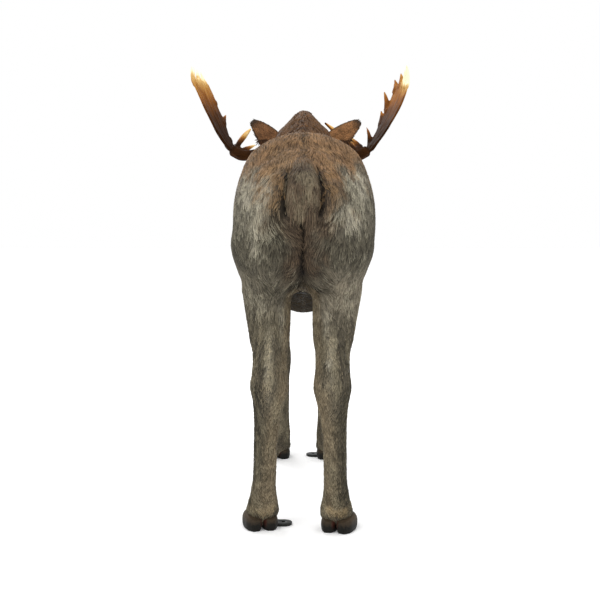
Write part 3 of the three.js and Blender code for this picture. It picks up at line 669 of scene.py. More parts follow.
def areas_of(p, n):
    """The parts of the body as soft masks from 0 to 1."""
    x, y, z = p.T
    side = np.abs(x)
    h = to_head(p)
    a = {}
    ears = [ear_share(p, name) for name in EARS]
    a["ear"] = np.maximum(ears[0][1], ears[1][1])
    a["ear_share"] = np.where(ears[0][1] > ears[1][1], ears[0][0], ears[1][0])
    a["ear_hollow"] = a["ear"] * smoothstep(0.1, 0.5, n[:, 1])
    a["face"] = smoothstep(-30, 70, h[:, 1]) * smoothstep(-225, -195, h[:, 2]) * (y > 1050) * (1 - a["ear"])
    a["muzzle"] = a["face"] * smoothstep(560, 640, h[:, 1])
    bell_far = line_distance(p, np.array(BELL)[:, :3])[0]
    a["bell"] = (1 - smoothstep(60, 80, bell_far)) * smoothstep(1510, 1450, z)
    a["tail"] = ((np.abs(x - TAIL_X) < 80) * smoothstep(-810, -920, y) * smoothstep(1415, 1432, z)
                 * smoothstep(1690, 1640, z) * (line_distance(p, np.array(TAIL)[:, :3])[0] < 78))
    # The grooves beside the tail and the cleft below it, where the paint lays painted shade.
    groove = np.minimum(*[line_distance(p, line)[0] for line in TAIL_GROOVES])
    cleft = line_distance(p, CLEFT_LINE, (1, 0, 1))[0] + 200 * smoothstep(-840, -780, y)
    a["crease"] = np.maximum(smoothstep(26, 12, groove), smoothstep(17, 6, cleft) * (y < -700))
    a["hind"] = smoothstep(-330, -420, y)
    a["fore"] = smoothstep(330, 400, y) * (y < 960)
    a["thigh"] = a["hind"] * smoothstep(1480, 1380, z)
    a["shank"] = np.maximum(a["hind"] * smoothstep(1060, 860, z), a["fore"] * smoothstep(1090, 900, z))
    a["foot"] = smoothstep(260, 120, z)
    a["rump"] = smoothstep(-450, -640, y) * (1 - a["thigh"]) * (1 - a["tail"])
    a["belly"] = smoothstep(-0.25, -0.7, n[:, 2]) * (1 - a["shank"]) * (np.abs(y) < 560) * (z < 1200)
    a["neck"] = smoothstep(560, 760, y) * smoothstep(1000, 1150, z) * (1 - a["face"]) * (1 - a["ear"])
    a["neck"] = a["neck"] * (1 - a["bell"])
    a["mane"] = smoothstep(-80, 260, y) * smoothstep(150, 60, side) * smoothstep(1640, 1760, z)
    a["mane"] = a["mane"] * (1 - a["face"]) * (1 - a["ear"])
    a["shoulder"] = smoothstep(150, 420, y) * (1 - a["neck"]) * (1 - a["shank"])
    return a


def mix(base, other, mask):
    """base where mask is 0, other where it is 1; base has a row for each place."""
    mask = mask[:, None]
    return base * (1 - mask) + np.asarray(other, float) * mask


def lie_of_coat(p, n, a):
    """The way the hair lies: back along the trunk, down the rump and legs, up the face, out on the ears."""
    x, _, z = p.T
    out = np.tanh(x / 45)
    one = np.ones_like(x)
    towards = 0.75 * smoothstep(1240, 1330, z) * (1 - smoothstep(1420, 1500, z))
    towards = towards - 0.75 * smoothstep(1260, 1180, z)
    inner = smoothstep(170, 60, np.abs(x)) * smoothstep(0.1, 0.6, -n[:, 1])
    way = np.stack([0.25 * out, -one, -0.42 - 0.3 * smoothstep(1500, 1200, z)], -1)
    for parts, mask in [
        ((0.22 * out, -0.25, -1), a["rump"] * smoothstep(0.1, 0.7, -n[:, 1])),
        ((-out * towards * inner, 0, -1), a["thigh"]),
        ((-0.9 * out, -0.5, -0.4), a["belly"]),
        ((0.15 * out, -0.55, -1), np.maximum(a["neck"], 0.7 * a["shoulder"])),
        ((0.7 * out, -1, -0.5), a["mane"]),
        ((0, 0, -1), np.maximum(a["shank"], a["bell"])),
        ((0.3 * (x - TAIL_X) / 60, 0, -1), a["tail"]),
    ]:
        way = mix(way, np.stack([part * one for part in parts], -1), mask)
    way = mix(way, turn_head(-FACE_ALONG + POLL)[0] - turn_head(POLL[None])[0], a["face"])
    for name in EARS:
        root, tip = ear_line(name)
        way = mix(way, unit((tip - root)[None])[0], ear_share(p, name)[1])
    return way


def on_surface(way, n):
    """Directions laid flat on the surface, each of length 1."""
    return unit(way - n * (way * n).sum(1, keepdims=True))


area = areas_of(skin, normal)
area["ear_rim"] = area["ear"] * on_ear * np.maximum(smoothstep(0.74, 0.95, np.abs(2 * skin_ear_v - 1)),
                                                   smoothstep(0.82, 0.97, skin_ear_u))
lie = on_surface(relax(on_surface(lie_of_coat(skin, normal, area), normal), edges, 8, 0.6), normal)

# ---- Paint -------------------------------------------------------------------------------------------
LATTICE = np.random.default_rng(7).random((48, 48, 48))


def cloud(p, size, seed=0):
    """Soft random values from 0 to 1 that change over about size millimetres: a lattice, smoothly read."""
    q = p / size + 17.3 * (seed + 1)
    cell = np.floor(q).astype(int)
    f = q - cell
    f = f * f * (3 - 2 * f)
    total = np.zeros(len(p))
    for corner in range(8):
        step = np.array([corner & 1, corner >> 1 & 1, corner >> 2 & 1])
        weight = np.where(step, f, 1 - f).prod(1)
        i, j, k = ((cell + step) % 48).T
        total += weight * LATTICE[i, j, k]
    return total


def paint(code):
    """A paint's colour in linear light from its red, green and blue in hexadecimal."""
    c = np.array([int(code[k:k + 2], 16) for k in (0, 2, 4)]) / 255
    return np.where(c <= 0.04045, c / 12.92, ((c + 0.055) / 1.055) ** 2.4)


def spot(p, middle, radii):
    """1 at a middle, falling to 0 over the radii, as a bell."""
    return np.exp(-((((p - middle) / radii) ** 2).sum(1)))


# Where the brush left most of the light paint.
BRUSHED_HIPS = [
    ([-224, -860, 1482], [62, 300, 100]),
    ([-204, -900, 1330], [15, 200, 62]),
    ([189, -880, 1400], [52, 260, 46]),
    ([240, -860, 1545], [40, 200, 60]),
    ([-150, -960, 1530], [20, 160, 40]),
    ([92, -800, 940], [13, 200, 60]),
    ([-96, -800, 900], [13, 200, 120]),
    ([108, -900, 820], [10, 200, 75]),
    ([-151, -900, 780], [12, 200, 115]),
]
# Light (+) and dark (-) places about the hocks: middle, radii, strength.
HOCK_PATCHES = [
    ([108, -850, 684], [24, 120, 13], 0.95), ([166, -830, 760], [27, 120, 85], -0.7),
    ([72, -830, 780], [16, 120, 70], -0.35), ([-193, -830, 755], [36, 120, 110], -0.8),
    ([-108, -830, 790], [13, 120, 90], -0.35), ([-128, -850, 690], [20, 120, 14], 0.35),
]
# Where more of the tufts are brushed pale.
PALE_SPOTS = [
    ([-205, -900, 1490], [70, 220, 110]),
    ([225, -900, 1530], [48, 220, 90]),
    ([190, -860, 1400], [58, 200, 50]),
    ([-190, -930, 1340], [30, 150, 70]),
    ([-120, -930, 1560], [50, 150, 90]),
    ([110, -930, 1600], [50, 150, 100]),
    ([-190, -900, 1000], [24, 200, 60]),
    ([178, -860, 1040], [22, 200, 60]),
    ([-151, -900, 790], [13, 160, 120]),
    ([108, -900, 825], [12, 160, 85]),
    ([108, -940, 678], [26, 120, 22]),
    ([-155, -900, 660], [40, 120, 60]),
    ([-6, -1010, 1475], [55, 90, 45]),
    ([8, -960, 1570], [24, 90, 55]),
    ([-160, -800, 130], [50, 90, 40]),
    ([135, -800, 130], [50, 90, 40]),
]


def painted(color, layers):
    """color with each layer's paint laid over it in turn, by the layer's mask."""
    for code, mask in layers:
        color = mix(color, paint(code), mask)
    return color


def markings(p, a):
    """The coat's paint at each place, and how many of its tufts are brushed pale."""
    x, y, z = p.T
    side = np.abs(x)
    rough = cloud(p, 60) - 0.5
    fine = cloud(p, 22, 1) - 0.5
    # The back half: brown over the croup, grey down the hips and thighs.
    reach = smoothstep(-300, -760, y)
    edge = (side - 96 - 34 * (x < 0) - (z - 1430) * 0.5) / 105 + 1.7 * rough + 0.8 * fine
    hip = smoothstep(-0.6, 1.0, edge) * smoothstep(-200, -700, y + 150 * smoothstep(1300, 1600, z))
    flank_grey = smoothstep(-800, -300, y) * smoothstep(250, -250, y)
    flank_grey = flank_grey * smoothstep(1560, 1380, z + 120 * rough)
    inner = smoothstep(125, 30, side + 70 * rough) * a["hind"] * smoothstep(1440, 1340, z)
    inner = inner * smoothstep(1090, 1160, z)
    front = smoothstep(-80, 300, y) * (1 - a["shank"]) * (1 - a["belly"])
    _, along, up = to_head(p).T
    color = painted(np.tile(paint("66503a"), (len(p), 1)), [
        ("6f5640", smoothstep(0.35, 0.8, cloud(p, 160, 2))),
        ("7e6246", smoothstep(-100, -600, y) * (1 - hip)),
        ("79634b", reach * spot(p, [-85, -880, 1640], [62, 300, 90])),
        ("745a40", reach * spot(p, [112, -880, 1650], [60, 300, 80])),
        ("625d50", hip),
        ("5b4d3e", reach * smoothstep(1600, 1500, z + 60 * rough) * (1 - hip)),
        ("5a5143", 0.7 * flank_grey),
        ("4f4438", a["thigh"] * smoothstep(1330, 1440, z) * smoothstep(190, 90, side) * 0.7),
        ("524d41", a["thigh"] * smoothstep(1440, 1280, z) * (1 - inner) * 0.9),
        ("5c574a", a["thigh"] * smoothstep(1240, 1120, z) * (1 - inner)),
        ("7b7363", (0.4 + 0.55 * (x > 0)) * a["thigh"] * smoothstep(1220, 1120, z) * (1 - inner)),
        ("463a2e", 0.75 * inner),
        ("5f584a", np.maximum(a["shank"], a["fore"] * smoothstep(1000, 900, z))),
        ("474035", a["shank"] * smoothstep(0.45, 0.75, cloud(p * [1, 1, 0.3], 50, 3)) * 0.4),
        ("231a08", a["belly"]),
        # The front half, the head, the ears and the tail.
        ("4b311d", front),
        ("39271b", a["neck"] * smoothstep(1700, 1350, z) * 0.8),
        ("5c4026", a["mane"]),
        ("543a27", a["face"]),
        ("4a3627", a["face"] * smoothstep(20, 90, up) * 0.7),
        ("6a5c4c", a["face"] * smoothstep(470, 620, along) * smoothstep(60, -30, up)),
        ("30261f", a["muzzle"] * smoothstep(-5, 30, up + 0.25 * (along - 640)) * 0.75),
        ("3b2f27", a["bell"]),
        ("835c3d", a["ear"]),
        ("9c7048", a["ear"] * (x > 0) * 0.7),
        ("8f7458", a["ear_hollow"] * smoothstep(0.9, 0.5, a["ear_share"])),
        ("2e261f", a["ear_rim"] * 0.9),
        ("5a4c3d", a["tail"]),
        ("6e6350", a["tail"] * smoothstep(0.5, 0.75, cloud(p * [1, 1, 0.5], 30, 4)) * 0.8),
        ("332a22", a["tail"] * spot(p, [-6, -980, 1600], [26, 90, 70]) * 0.6),
        # Painted shade: dark down the grooves beside the tail and the cleft below it.
        ("1d1814", a["crease"] * 0.9),
    ])
    # Light brushed on what stands out; painted shade, near black, laid down the grooves beside the tail.
    for line in TAIL_GROOVES:
        groove = line_distance(p, line, (1, 0, 1))[0] + 10 * fine
        color = mix(color, paint("120e0b"), 0.95 * smoothstep(-840, -890, y) * smoothstep(17, 7, groove))
    seen_from_behind = smoothstep(-400, -680, y + 90 * rough)
    for middle, radii in BRUSHED_HIPS:
        brushed_on = spot(p, middle, radii) * (0.9 + 2.6 * fine)
        color = mix(color, paint("ada694"), reach * seen_from_behind * np.clip(brushed_on, 0, 0.85))
    spine = 0.55 * smoothstep(26, 8, side + 12 * fine) * smoothstep(-250, -420, y) * smoothstep(1600, 1680, z)
    color = painted(color, [
        # Painted shade: a dark soft spot below and beside the tail's end, on the left.
        ("3b372b", 0.7 * reach * spot(p, [-123, -930, 1400], [34, 220, 95])),
        ("54432f", spine),
    ])
    # Painted shade: darker on the outer sides of the body ahead of the hips, where they turn away.
    hip_side_shade = 0.22 * smoothstep(262, 318, side) * smoothstep(-350, -560, y) * smoothstep(1100, 1250, z)
    color = color * (1 - hip_side_shade)[:, None]
    color = color * (1 - 0.1 * a["hind"] * smoothstep(620, 700, z) * smoothstep(1000, 900, z))[:, None]
    right_pastern = 0.7 * (x > 0) * a["hind"] * smoothstep(280, 220, z) * smoothstep(80, 120, z)
    color = mix(color, paint("453f32"), right_pastern)
    for middle, radii, strength in HOCK_PATCHES:
        code = "a59d89" if strength > 0 else "3d392d"
        color = mix(color, paint(code), abs(strength) * spot(p, middle, radii) * (0.8 + 1.6 * fine))
    # Painted shade: near black in the gap between the thighs, under the groin.
    between = smoothstep(70, 45, side) * a["hind"] * smoothstep(1128, 1100, z) * smoothstep(1030, 1060, z)
    color = mix(color, paint("1d1812"), between * (y < -560))

    def near(leg, marks):
        """How far each place is from a line down a leg."""
        return line_distance(p, on_leg(leg, marks))[0]

    for leg in (LEGS["hindleg_left"], LEGS["hindleg_right"]):
        tendon = near(leg, [[930, 268], [820, 270], [690, 270]])
        inside = near(leg, [
            [1080, 200], [940, 195], [760, 200], [600, 215], [420, 235], [240, 240], [150, 240],
        ])
        outside = near(leg, [[640, 330], [420, 328], [240, 322], [130, 318]])
        fringe = near(leg, [[104, 240], [100, 270], [104, 300]])
        color = painted(color, [
            ("999079", 0.75 * smoothstep(24, 6, tendon + 16 * fine)),
            ("8a7b62", 0.65 * smoothstep(80, 20, inside + 30 * rough)),
            ("3d392d", 0.7 * smoothstep(80, 28, outside + 34 * rough + 12 * fine)),
            ("a8936f", 0.7 * smoothstep(34, 8, fringe + 22 * fine)),
        ])
        if leg["side"] < 0:
            heel = near(leg, [[190, 270], [140, 270]])
            color = mix(color, paint("857760"), 0.55 * smoothstep(90, 30, heel + 40 * rough))
    streaks = smoothstep(0.48, 0.75, cloud(p * [1, 1, 0.2], 26, 5))
    color = mix(color, paint("857c66"), a["shank"] * streaks * 0.55)
    pale = 0.12 + 0.3 * smoothstep(0.5, 0.8, cloud(p * [1, 1, 0.4], 44, 6))
    pale = pale * (1 - 0.6 * smoothstep(-200, 200, y))
    for middle, radii in PALE_SPOTS:
        pale += 0.75 * seen_from_behind * spot(p, middle, radii) * (0.45 + 1.1 * cloud(p, 30, 7))
    pale = pale * (1 - 0.9 * a["belly"]) * (1 - 0.6 * inner) * (1 - 0.5 * a["bell"])
    pale_paint = painted(np.tile(paint("a8865e"), (len(p), 1)), [
        ("7d6143", smoothstep(-300, 100, y)),
        ("aea892", np.maximum(hip, a["thigh"] * (1 - inner))),
        ("a3957a", a["shank"]),
        ("8b8069", a["tail"]),
    ])
    return color, np.clip(pale, 0, 0.9), pale_paint


color, pale, pale_paint = markings(skin, area)


def set_attributes(mesh, **fields):
    """Named values, vectors or colours at each vertex."""
    for name, values in fields.items():
        kind, key = ("FLOAT", "value") if values.ndim == 1 else ("FLOAT_VECTOR", "vector")
        layer = mesh.attributes.new(name, kind, "POINT")
        layer.data.foreach_set(key, np.asarray(values, np.float32).ravel())


# The hair's own grain on short coat: places squeezed along the way it lies, so that a plain noise combs it.
COMB_FRAMES = [
    ("trunk", [0, 0, 1350], [0, -0.86, -0.5]), ("thigh", [0, -800, 1200], [0, 0, -1]),
    ("shank", [0, 0, 500], [0, 0, -1]), ("face", from_head([[0, 330, 0]])[0], FACE_ALONG),
]


def combed(p, a):
    """Each frame's place less 0.88 of its part along the hair, blended by the parts' masks."""
    result = None
    for name, middle, way in COMB_FRAMES:
        way = unit(np.array([way], float))[0]
        own = p - 0.88 * ((p - middle) @ way)[:, None] * way
        result = own if result is None else mix(result, own, a[name])
    return result


bare = np.maximum.reduce([area["muzzle"], 0.85 * area["face"], 0.8 * area["shank"], 0.5 * area["ear"]])
head_places = to_head(skin)
both_sides = np.column_stack([np.abs(head_places[:, 0]), head_places[:, 1:]])
eye_far = np.linalg.norm(both_sides - EYE_AT, axis=1)
nostril = line_distance(both_sides, NOSTRIL_LINE, (0, 1, 1))[0]
mouth = line_distance(both_sides, MOUTH_LINE, (0, 1, 1))[0]
openings = np.maximum.reduce([
    smoothstep(31, 22, eye_far), smoothstep(15, 9, nostril), 0.9 * smoothstep(8, 3, mouth),
])
openings = openings * (area["face"] > 0.2)
set_attributes(skin_mesh, markings=color, pale_paint=pale_paint, pale=pale, comb=combed(skin, area) * MM,
               short_coat=bare, dark_skin=openings)


# ---- Materials -----------------------------------------------------------------------------------------
class Nodes:
    """A short way to add nodes to a tree and link them."""

    def __init__(self, tree):
        self.tree = tree

    def add(self, kind, values=None, **settings):
        """One node, with its settings and with its inputs set or linked."""
        node = self.tree.nodes.new(kind)
        for key, value in settings.items():
            setattr(node, key, value)
        for key, value in (values or {}).items():
            socket = node.inputs[key]
            if isinstance(value, bpy.types.NodeSocket):
                self.tree.links.new(value, socket)
            else:
                socket.default_value = value
        return node

    def math(self, operation, *values, clamp=False):
        """One sum on values or sockets."""
        node = self.add("ShaderNodeMath", dict(enumerate(values)), operation=operation, use_clamp=clamp)
        return node.outputs[0]

    def blend(self, factor, a, b, way="MIX"):
        """Two colours mixed."""
        node = self.add("ShaderNodeMix", data_type="RGBA", blend_type=way)
        for socket, value in zip((node.inputs[0], node.inputs[6], node.inputs[7]), (factor, a, b)):
            if isinstance(value, bpy.types.NodeSocket):
                self.tree.links.new(value, socket)
            else:
                socket.default_value = value
        return node.outputs[2]

    def span(self, value, low, high, to_low=0.0, to_high=1.0):
        """A value's span turned into another, held at its ends."""
        return self.add("ShaderNodeMapRange", {"Value": value, "From Min": low, "From Max": high,
                                               "To Min": to_low, "To Max": to_high}).outputs[0]

    def noise(self, vector, scale, detail=3.0, rough=0.5):
        """A soft noise's value."""
        return self.add("ShaderNodeTexNoise", {"Vector": vector, "Scale": scale, "Detail": detail,
                                               "Roughness": rough}).outputs["Fac"]

    def attribute(self, name, output="Fac"):
        """A named attribute of the mesh."""
        return self.add("ShaderNodeAttribute", attribute_name=name).outputs[output]

    def bump(self, height, strength, distance):
        """A normal from a height."""
        return self.add("ShaderNodeBump", {
            "Height": height, "Strength": strength, "Distance": distance}).outputs[0]

    def ramp(self, value, stops):
        """A colour read from stops of (place, paint)."""
        node = self.add("ShaderNodeValToRGB", {"Fac": value})
        while len(node.color_ramp.elements) < len(stops):
            node.color_ramp.elements.new(0.5)
        for element, (at, code) in zip(node.color_ramp.elements, stops):
            element.position = at
            element.color = (*paint(code), 1)
        return node.outputs["Color"]

    def place(self):
        """The place on the object."""
        return self.add("ShaderNodeTexCoord").outputs["Object"]

    def join(self, inputs, **sockets):
        """Links sockets to inputs, whose names have _ for a space."""
        for key, socket in sockets.items():
            self.tree.links.new(socket, inputs[key.replace("_", " ")])


def node_group(name, inputs, outputs):
    """An empty shader node group: (group, helper, its inputs, its output node)."""
    group = bpy.data.node_groups.new(name, "ShaderNodeTree")
    for label, kind, default in inputs:
        socket = group.interface.new_socket(label, in_out="INPUT", socket_type="NodeSocket" + kind)
        if default is not None:
            socket.default_value = default
    for label, kind in outputs:
        group.interface.new_socket(label, in_out="OUTPUT", socket_type="NodeSocket" + kind)
    helper = Nodes(group)
    return group, helper, helper.add("NodeGroupInput").outputs, helper.add("NodeGroupOutput").inputs


def material(name, roughness=0.6, **sockets):
    """A new material: (material, helper, its Principled shader)."""
    mat = bpy.data.materials.new(name)
    mat.use_nodes = True
    helper = Nodes(mat.node_tree)
    shader = mat.node_tree.nodes["Principled BSDF"]
    shader.inputs["Roughness"].default_value = roughness
    for key, value in sockets.items():
        shader.inputs[key.replace("_", " ")].default_value = value
    return mat, helper, shader


def brushed_coat_group():
    """Paint over carved hair: the markings, darker in the roots, lighter where the dry brush caught it."""
    group, n, given, out = node_group(
        "brushed_coat",
        [("Markings", "Color", (0.2, 0.15, 0.1, 1)), ("Pale Paint", "Color", (0.5, 0.4, 0.3, 1)),
         ("Pale", "Float", 0.2), ("Raised", "Float", 0.5), ("Tone", "Float", 0.5), ("Place", "Vector", None)],
        [("Color", "Color"), ("Roughness", "Float")],
    )
    grain = n.noise(given["Place"], 260, 2)
    patch = n.noise(given["Place"], 34, 3)
    light = n.span(given["Raised"], 0, 1, 0.35, 1.2)
    light = n.math("MULTIPLY", light, n.span(given["Tone"], 0, 1, 0.55, 1.42))
    light = n.math("MULTIPLY", light, n.span(patch, 0.3, 0.7, 0.86, 1.14))
    light = n.math("MULTIPLY", light, n.span(grain, 0.3, 0.7, 0.9, 1.1))
    shade = n.add("ShaderNodeCombineColor", {0: light, 1: light, 2: light}).outputs[0]
    base = n.blend(1.0, given["Markings"], shade, "MULTIPLY")
    brush = n.math("MULTIPLY", given["Pale"], n.span(given["Raised"], 0.35, 0.95))
    brush = n.math("MULTIPLY", brush, n.span(grain, 0.35, 0.6, 0.55, 1.0))
    n.join(out, Color=n.blend(brush, base, given["Pale Paint"]), Roughness=n.span(patch, 0.3, 0.7, 0.5, 0.68))
    return group


BRUSHED = brushed_coat_group()


def brushed(n, pale_socket, raised, tone, place):
    """The brushed coat group placed in a material."""
    return n.add("ShaderNodeGroup", {
        "Markings": n.attribute("markings", "Color"), "Pale Paint": n.attribute("pale_paint", "Color"),
        "Pale": pale_socket, "Raised": raised, "Tone": tone, "Place": place}, node_tree=BRUSHED)


def skin_material():
    """Short hair carved into the skin: combed noise as height, the same paint, and dark bare skin."""
    mat, n, shader = material("painted_skin", 0.6, Specular_IOR_Level=0.12)
    place = n.place()
    comb = n.attribute("comb", "Vector")
    coarse = n.math("MULTIPLY", n.noise(comb, 150, 3, 0.6), 0.7)
    hairs = n.math("ADD", coarse, n.math("MULTIPLY", n.noise(comb, 420, 2), 0.3))
    raised = n.span(hairs, 0.36, 0.62)
    short = n.attribute("short_coat")
    level = n.math("MULTIPLY", raised, n.span(short, 0, 1, 0.35, 1.0))
    coat = brushed(n, n.math("MULTIPLY", n.attribute("pale"), 0.9), level, 0.5, place)
    dark = n.attribute("dark_skin")
    n.join(shader.inputs, Base_Color=n.blend(dark, coat.outputs["Color"], (0.018, 0.013, 0.011, 1)),
           Roughness=n.blend(dark, coat.outputs["Roughness"], (0.35, 0.35, 0.35, 1)),
           Normal=n.bump(hairs, 0.75, 0.006))
    return mat


def tuft_material(name):
    """Tufts of the coat: roots dark, tips light, each tuft with its own tone."""
    mat, n, shader = material(name, 0.6, Specular_IOR_Level=0.12)
    place = n.place()
    coat = brushed(n, n.attribute("pale"), n.attribute("raised"), n.attribute("tone"), place)
    n.join(shader.inputs, Base_Color=coat.outputs["Color"], Roughness=coat.outputs["Roughness"])
    return mat


skin_ob = make_object("skin", skin_mesh, skin_material())
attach(skin_ob, "root")
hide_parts("trunk", "neck", "head", "tail", "bell", "ear_left", "ear_right", *LEGS)

# ---- Tufts ---------------------------------------------------------------------------------------------
TUFT_COUNT = 92000
# Length, width, height above the skin and room for each tuft, in millimetres and square millimetres.
TUFT_SIZES = {
    "trunk": [58, 7.0, 3.4, 112],
    "rump": [46, 5.0, 3.2, 42],
    "thigh": [44, 4.8, 2.4, 42],
    "neck": [64, 6.8, 4.0, 92],
    "mane": [66, 6.5, 4.2, 70],
    "belly": [46, 8.0, 3.0, 120],
    "crease": [24, 4.0, 0.6, 60],
    "shank": [24, 4.2, 1.6, 92],
    "foot": [20, 4.4, 2.0, 44],
    "bell": [70, 7.5, 4.5, 46],
    "tail": [54, 5.2, 4.5, 24],
    "ear": [17, 3.6, 1.1, 30],
    "face": [17, 3.8, 1.2, 52],
    "muzzle": [9, 2.8, 0.8, 46],
}


def tuft_sizes(a):
    """Each place's tuft: its part's row of TUFT_SIZES, blended by the masks."""
    size = np.tile(np.array(TUFT_SIZES["trunk"], float), (len(a["face"]), 1))
    for name in list(TUFT_SIZES)[1:]:
        size = mix(size, np.array(TUFT_SIZES[name], float), a[name])
    by_ear = np.zeros(len(size))
    for ear in EARS.values():
        ear_root = turn_head(np.array([ear["root"]], float))
        by_ear = np.maximum(by_ear, smoothstep(250, 170, line_distance(skin, ear_root)[0]))
    size = mix(size, np.array(TUFT_SIZES["face"], float), by_ear * (1 - a["ear"]))
    end_of_tail = a["tail"] * smoothstep(1500, 1450, skin[:, 2])
    return size * (1 + end_of_tail[:, None] * [0.5, -0.1, 0.4, -0.3])


def surface_bend(p, n, way):
    """Half the curvature along the hair, so that a tuft can follow the skin: mean of -dn.e / 2 e.e."""
    a, b = np.r_[edges[:, 0], edges[:, 1]], np.r_[edges[:, 1], edges[:, 0]]
    e = p[b] - p[a]
    length = np.maximum((e * e).sum(1), 1e-9)
    weight = ((e * way[a]).sum(1) ** 2 / length) ** 2 + 1e-6
    bend = -0.5 * ((n[b] - n[a]) * e).sum(1) / length
    total = np.bincount(a, weight * bend, len(p)) / np.bincount(a, weight, len(p))
    return np.clip(relax(total[:, None], edges, 4, 0.6)[:, 0], -0.006, 0.002)


size = tuft_sizes(area)
bend = surface_bend(skin, normal, lie)
corners = corner_vertices(skin_mesh).reshape(-1, 4)
quad = skin[corners]
face_area = np.linalg.norm(np.cross(quad[:, 2] - quad[:, 0], quad[:, 3] - quad[:, 1]), axis=1) / 2
away_from_eyes = ((eye_far > 33) & (openings < 0.45))[corners].all(1)
above_hoof = (skin[:, 2] > 64)[corners].all(1)
wish = face_area / size[corners, 3].mean(1) * away_from_eyes * above_hoof
share = np.cumsum(wish) / wish.sum()
pick = (np.arange(TUFT_COUNT) + rng.random(TUFT_COUNT)) / TUFT_COUNT
root_face = np.searchsorted(share, pick)
spot_u, spot_v = rng.random((2, TUFT_COUNT))
corner_weight = np.stack([
    (1 - spot_u) * (1 - spot_v), spot_u * (1 - spot_v), spot_u * spot_v, (1 - spot_u) * spot_v,
], -1)


def at_roots(values):
    """Values at the vertices, read at the tufts' roots."""
    own = values[corners[root_face]]
    weight = corner_weight[..., None] if values.ndim == 2 else corner_weight
    return (own * weight).sum(1)


root, root_normal = at_roots(skin), unit(at_roots(normal))
root_area = {name: at_roots(mask) for name, mask in area.items()}
turn = rng.normal(0, 0.1, TUFT_COUNT) + 0.9 * (cloud(root, 60, 11) - 0.5) + 0.5 * (cloud(root, 24, 12) - 0.5)
forward = on_surface(at_roots(lie), root_normal)
sideways = np.cross(forward, root_normal)
forward = forward * np.cos(turn)[:, None] + sideways * np.sin(turn)[:, None]
hangs = root_area["bell"] + 0.8 * root_area["tail"] * smoothstep(1495, 1435, root[:, 2])
forward = unit(forward + hangs[:, None] * [0.0, 0.0, -1.6])
root_size = at_roots(size)
root_size[:, 0] *= 0.75 + 0.5 * rng.random(TUFT_COUNT)
root_size[:, 1] *= 0.8 + 0.4 * rng.random(TUFT_COUNT)
root_size[:, 2] *= 0.5 + 0.9 * rng.random(TUFT_COUNT)
sway = rng.normal(0, 0.07, TUFT_COUNT)
tone = np.clip(0.9 * rng.random(TUFT_COUNT) + 0.9 * (cloud(root, 26, 13) - 0.5) + 0.05, 0, 1)
root_color, root_pale, root_pale_paint = at_roots(color), at_roots(pale), at_roots(pale_paint)
brushed_here = 0.62 * smoothstep(0.3, 0.7, cloud(root * [1, 1, 0.55], 22, 15)) + 0.38 * rng.random(TUFT_COUNT)
is_pale = smoothstep(-0.04, 0.1, root_pale - brushed_here) * (0.45 + 0.5 * rng.random(TUFT_COUNT))
root_bend = at_roots(bend)

RING_AT = np.array([0.0, 0.34, 0.7, 1.0])
RING_RISE = np.array([-0.5, 0.7, 0.66, 0.15])
RING_HALF = np.array([0.6, 1.05, 0.62, 0.0])
RING_RAISED = np.array([0.0, 0.55, 0.85, 1.0])
PATCH = 0.003  # how wide a tuft is on the bake's layout


def tuft_mesh(name, chosen, patch):
    """Closed three-sided tufts, each with a left, a right and a raised edge that narrow to one tip.

    Middle line at s: root + way * L s + normal * (rise + bend L^2 s^2) + side * sway L sin(3 s).
    """
    k = len(chosen)
    s = RING_AT[None, :, None]
    length, width, height = (root_size[chosen, i][:, None, None] for i in range(3))
    way, up, side = (v[chosen][:, None] for v in (forward, root_normal, np.cross(forward, root_normal)))
    bow = sway[chosen][:, None, None] * length * np.sin(3 * s)
    middle = root[chosen][:, None] + way * length * s + side * bow
    lift = height * RING_RISE[None, :, None] + root_bend[chosen][:, None, None] * (length * s) ** 2
    middle = middle + up * lift
    half = width / 2 * RING_HALF[None, :, None]
    ring = np.stack([middle - side * half, middle + side * half, middle + up * half * 0.55], 2)
    verts = np.concatenate([ring[:, :3].reshape(k, 9, 3), middle[:, 3:]], 1).reshape(-1, 3)
    start = np.arange(k)[:, None, None] * 10
    walls = [[r + i, r + (i + 1) % 3, r + 3 + (i + 1) % 3, r + 3 + i] for r in (0, 3) for i in range(3)]
    quads = (start + np.array(walls)).reshape(-1, 4)
    tris = (start + np.array([[6, 7, 9], [7, 8, 9], [8, 6, 9], [2, 1, 0]])).reshape(-1, 3)
    mesh = make_mesh(name, verts * MM + ORIGIN, quads, tris)
    each = np.repeat(chosen, 10)
    rise = np.tile(np.r_[np.repeat(RING_RAISED[:3], 3) * np.tile([0.82, 0.82, 1.0], 3), 1.0], k)
    set_attributes(mesh, markings=root_color[each], pale_paint=root_pale_paint[each], pale=is_pale[each],
                   tone=tone[each], raised=rise)
    local = np.r_[np.stack([np.tile([-0.5, 0.5, 0.0], 3), np.repeat(RING_AT[:3], 3)], -1), [[0.0, 1.0]]]
    where = np.repeat(patch, 10, 0) + PATCH * np.tile(local, (k, 1))
    layer = mesh.uv_layers.new(name="OFBake")
    layer.data.foreach_set("uv", where[corner_vertices(mesh)].astype(np.float32).ravel())
    return mesh


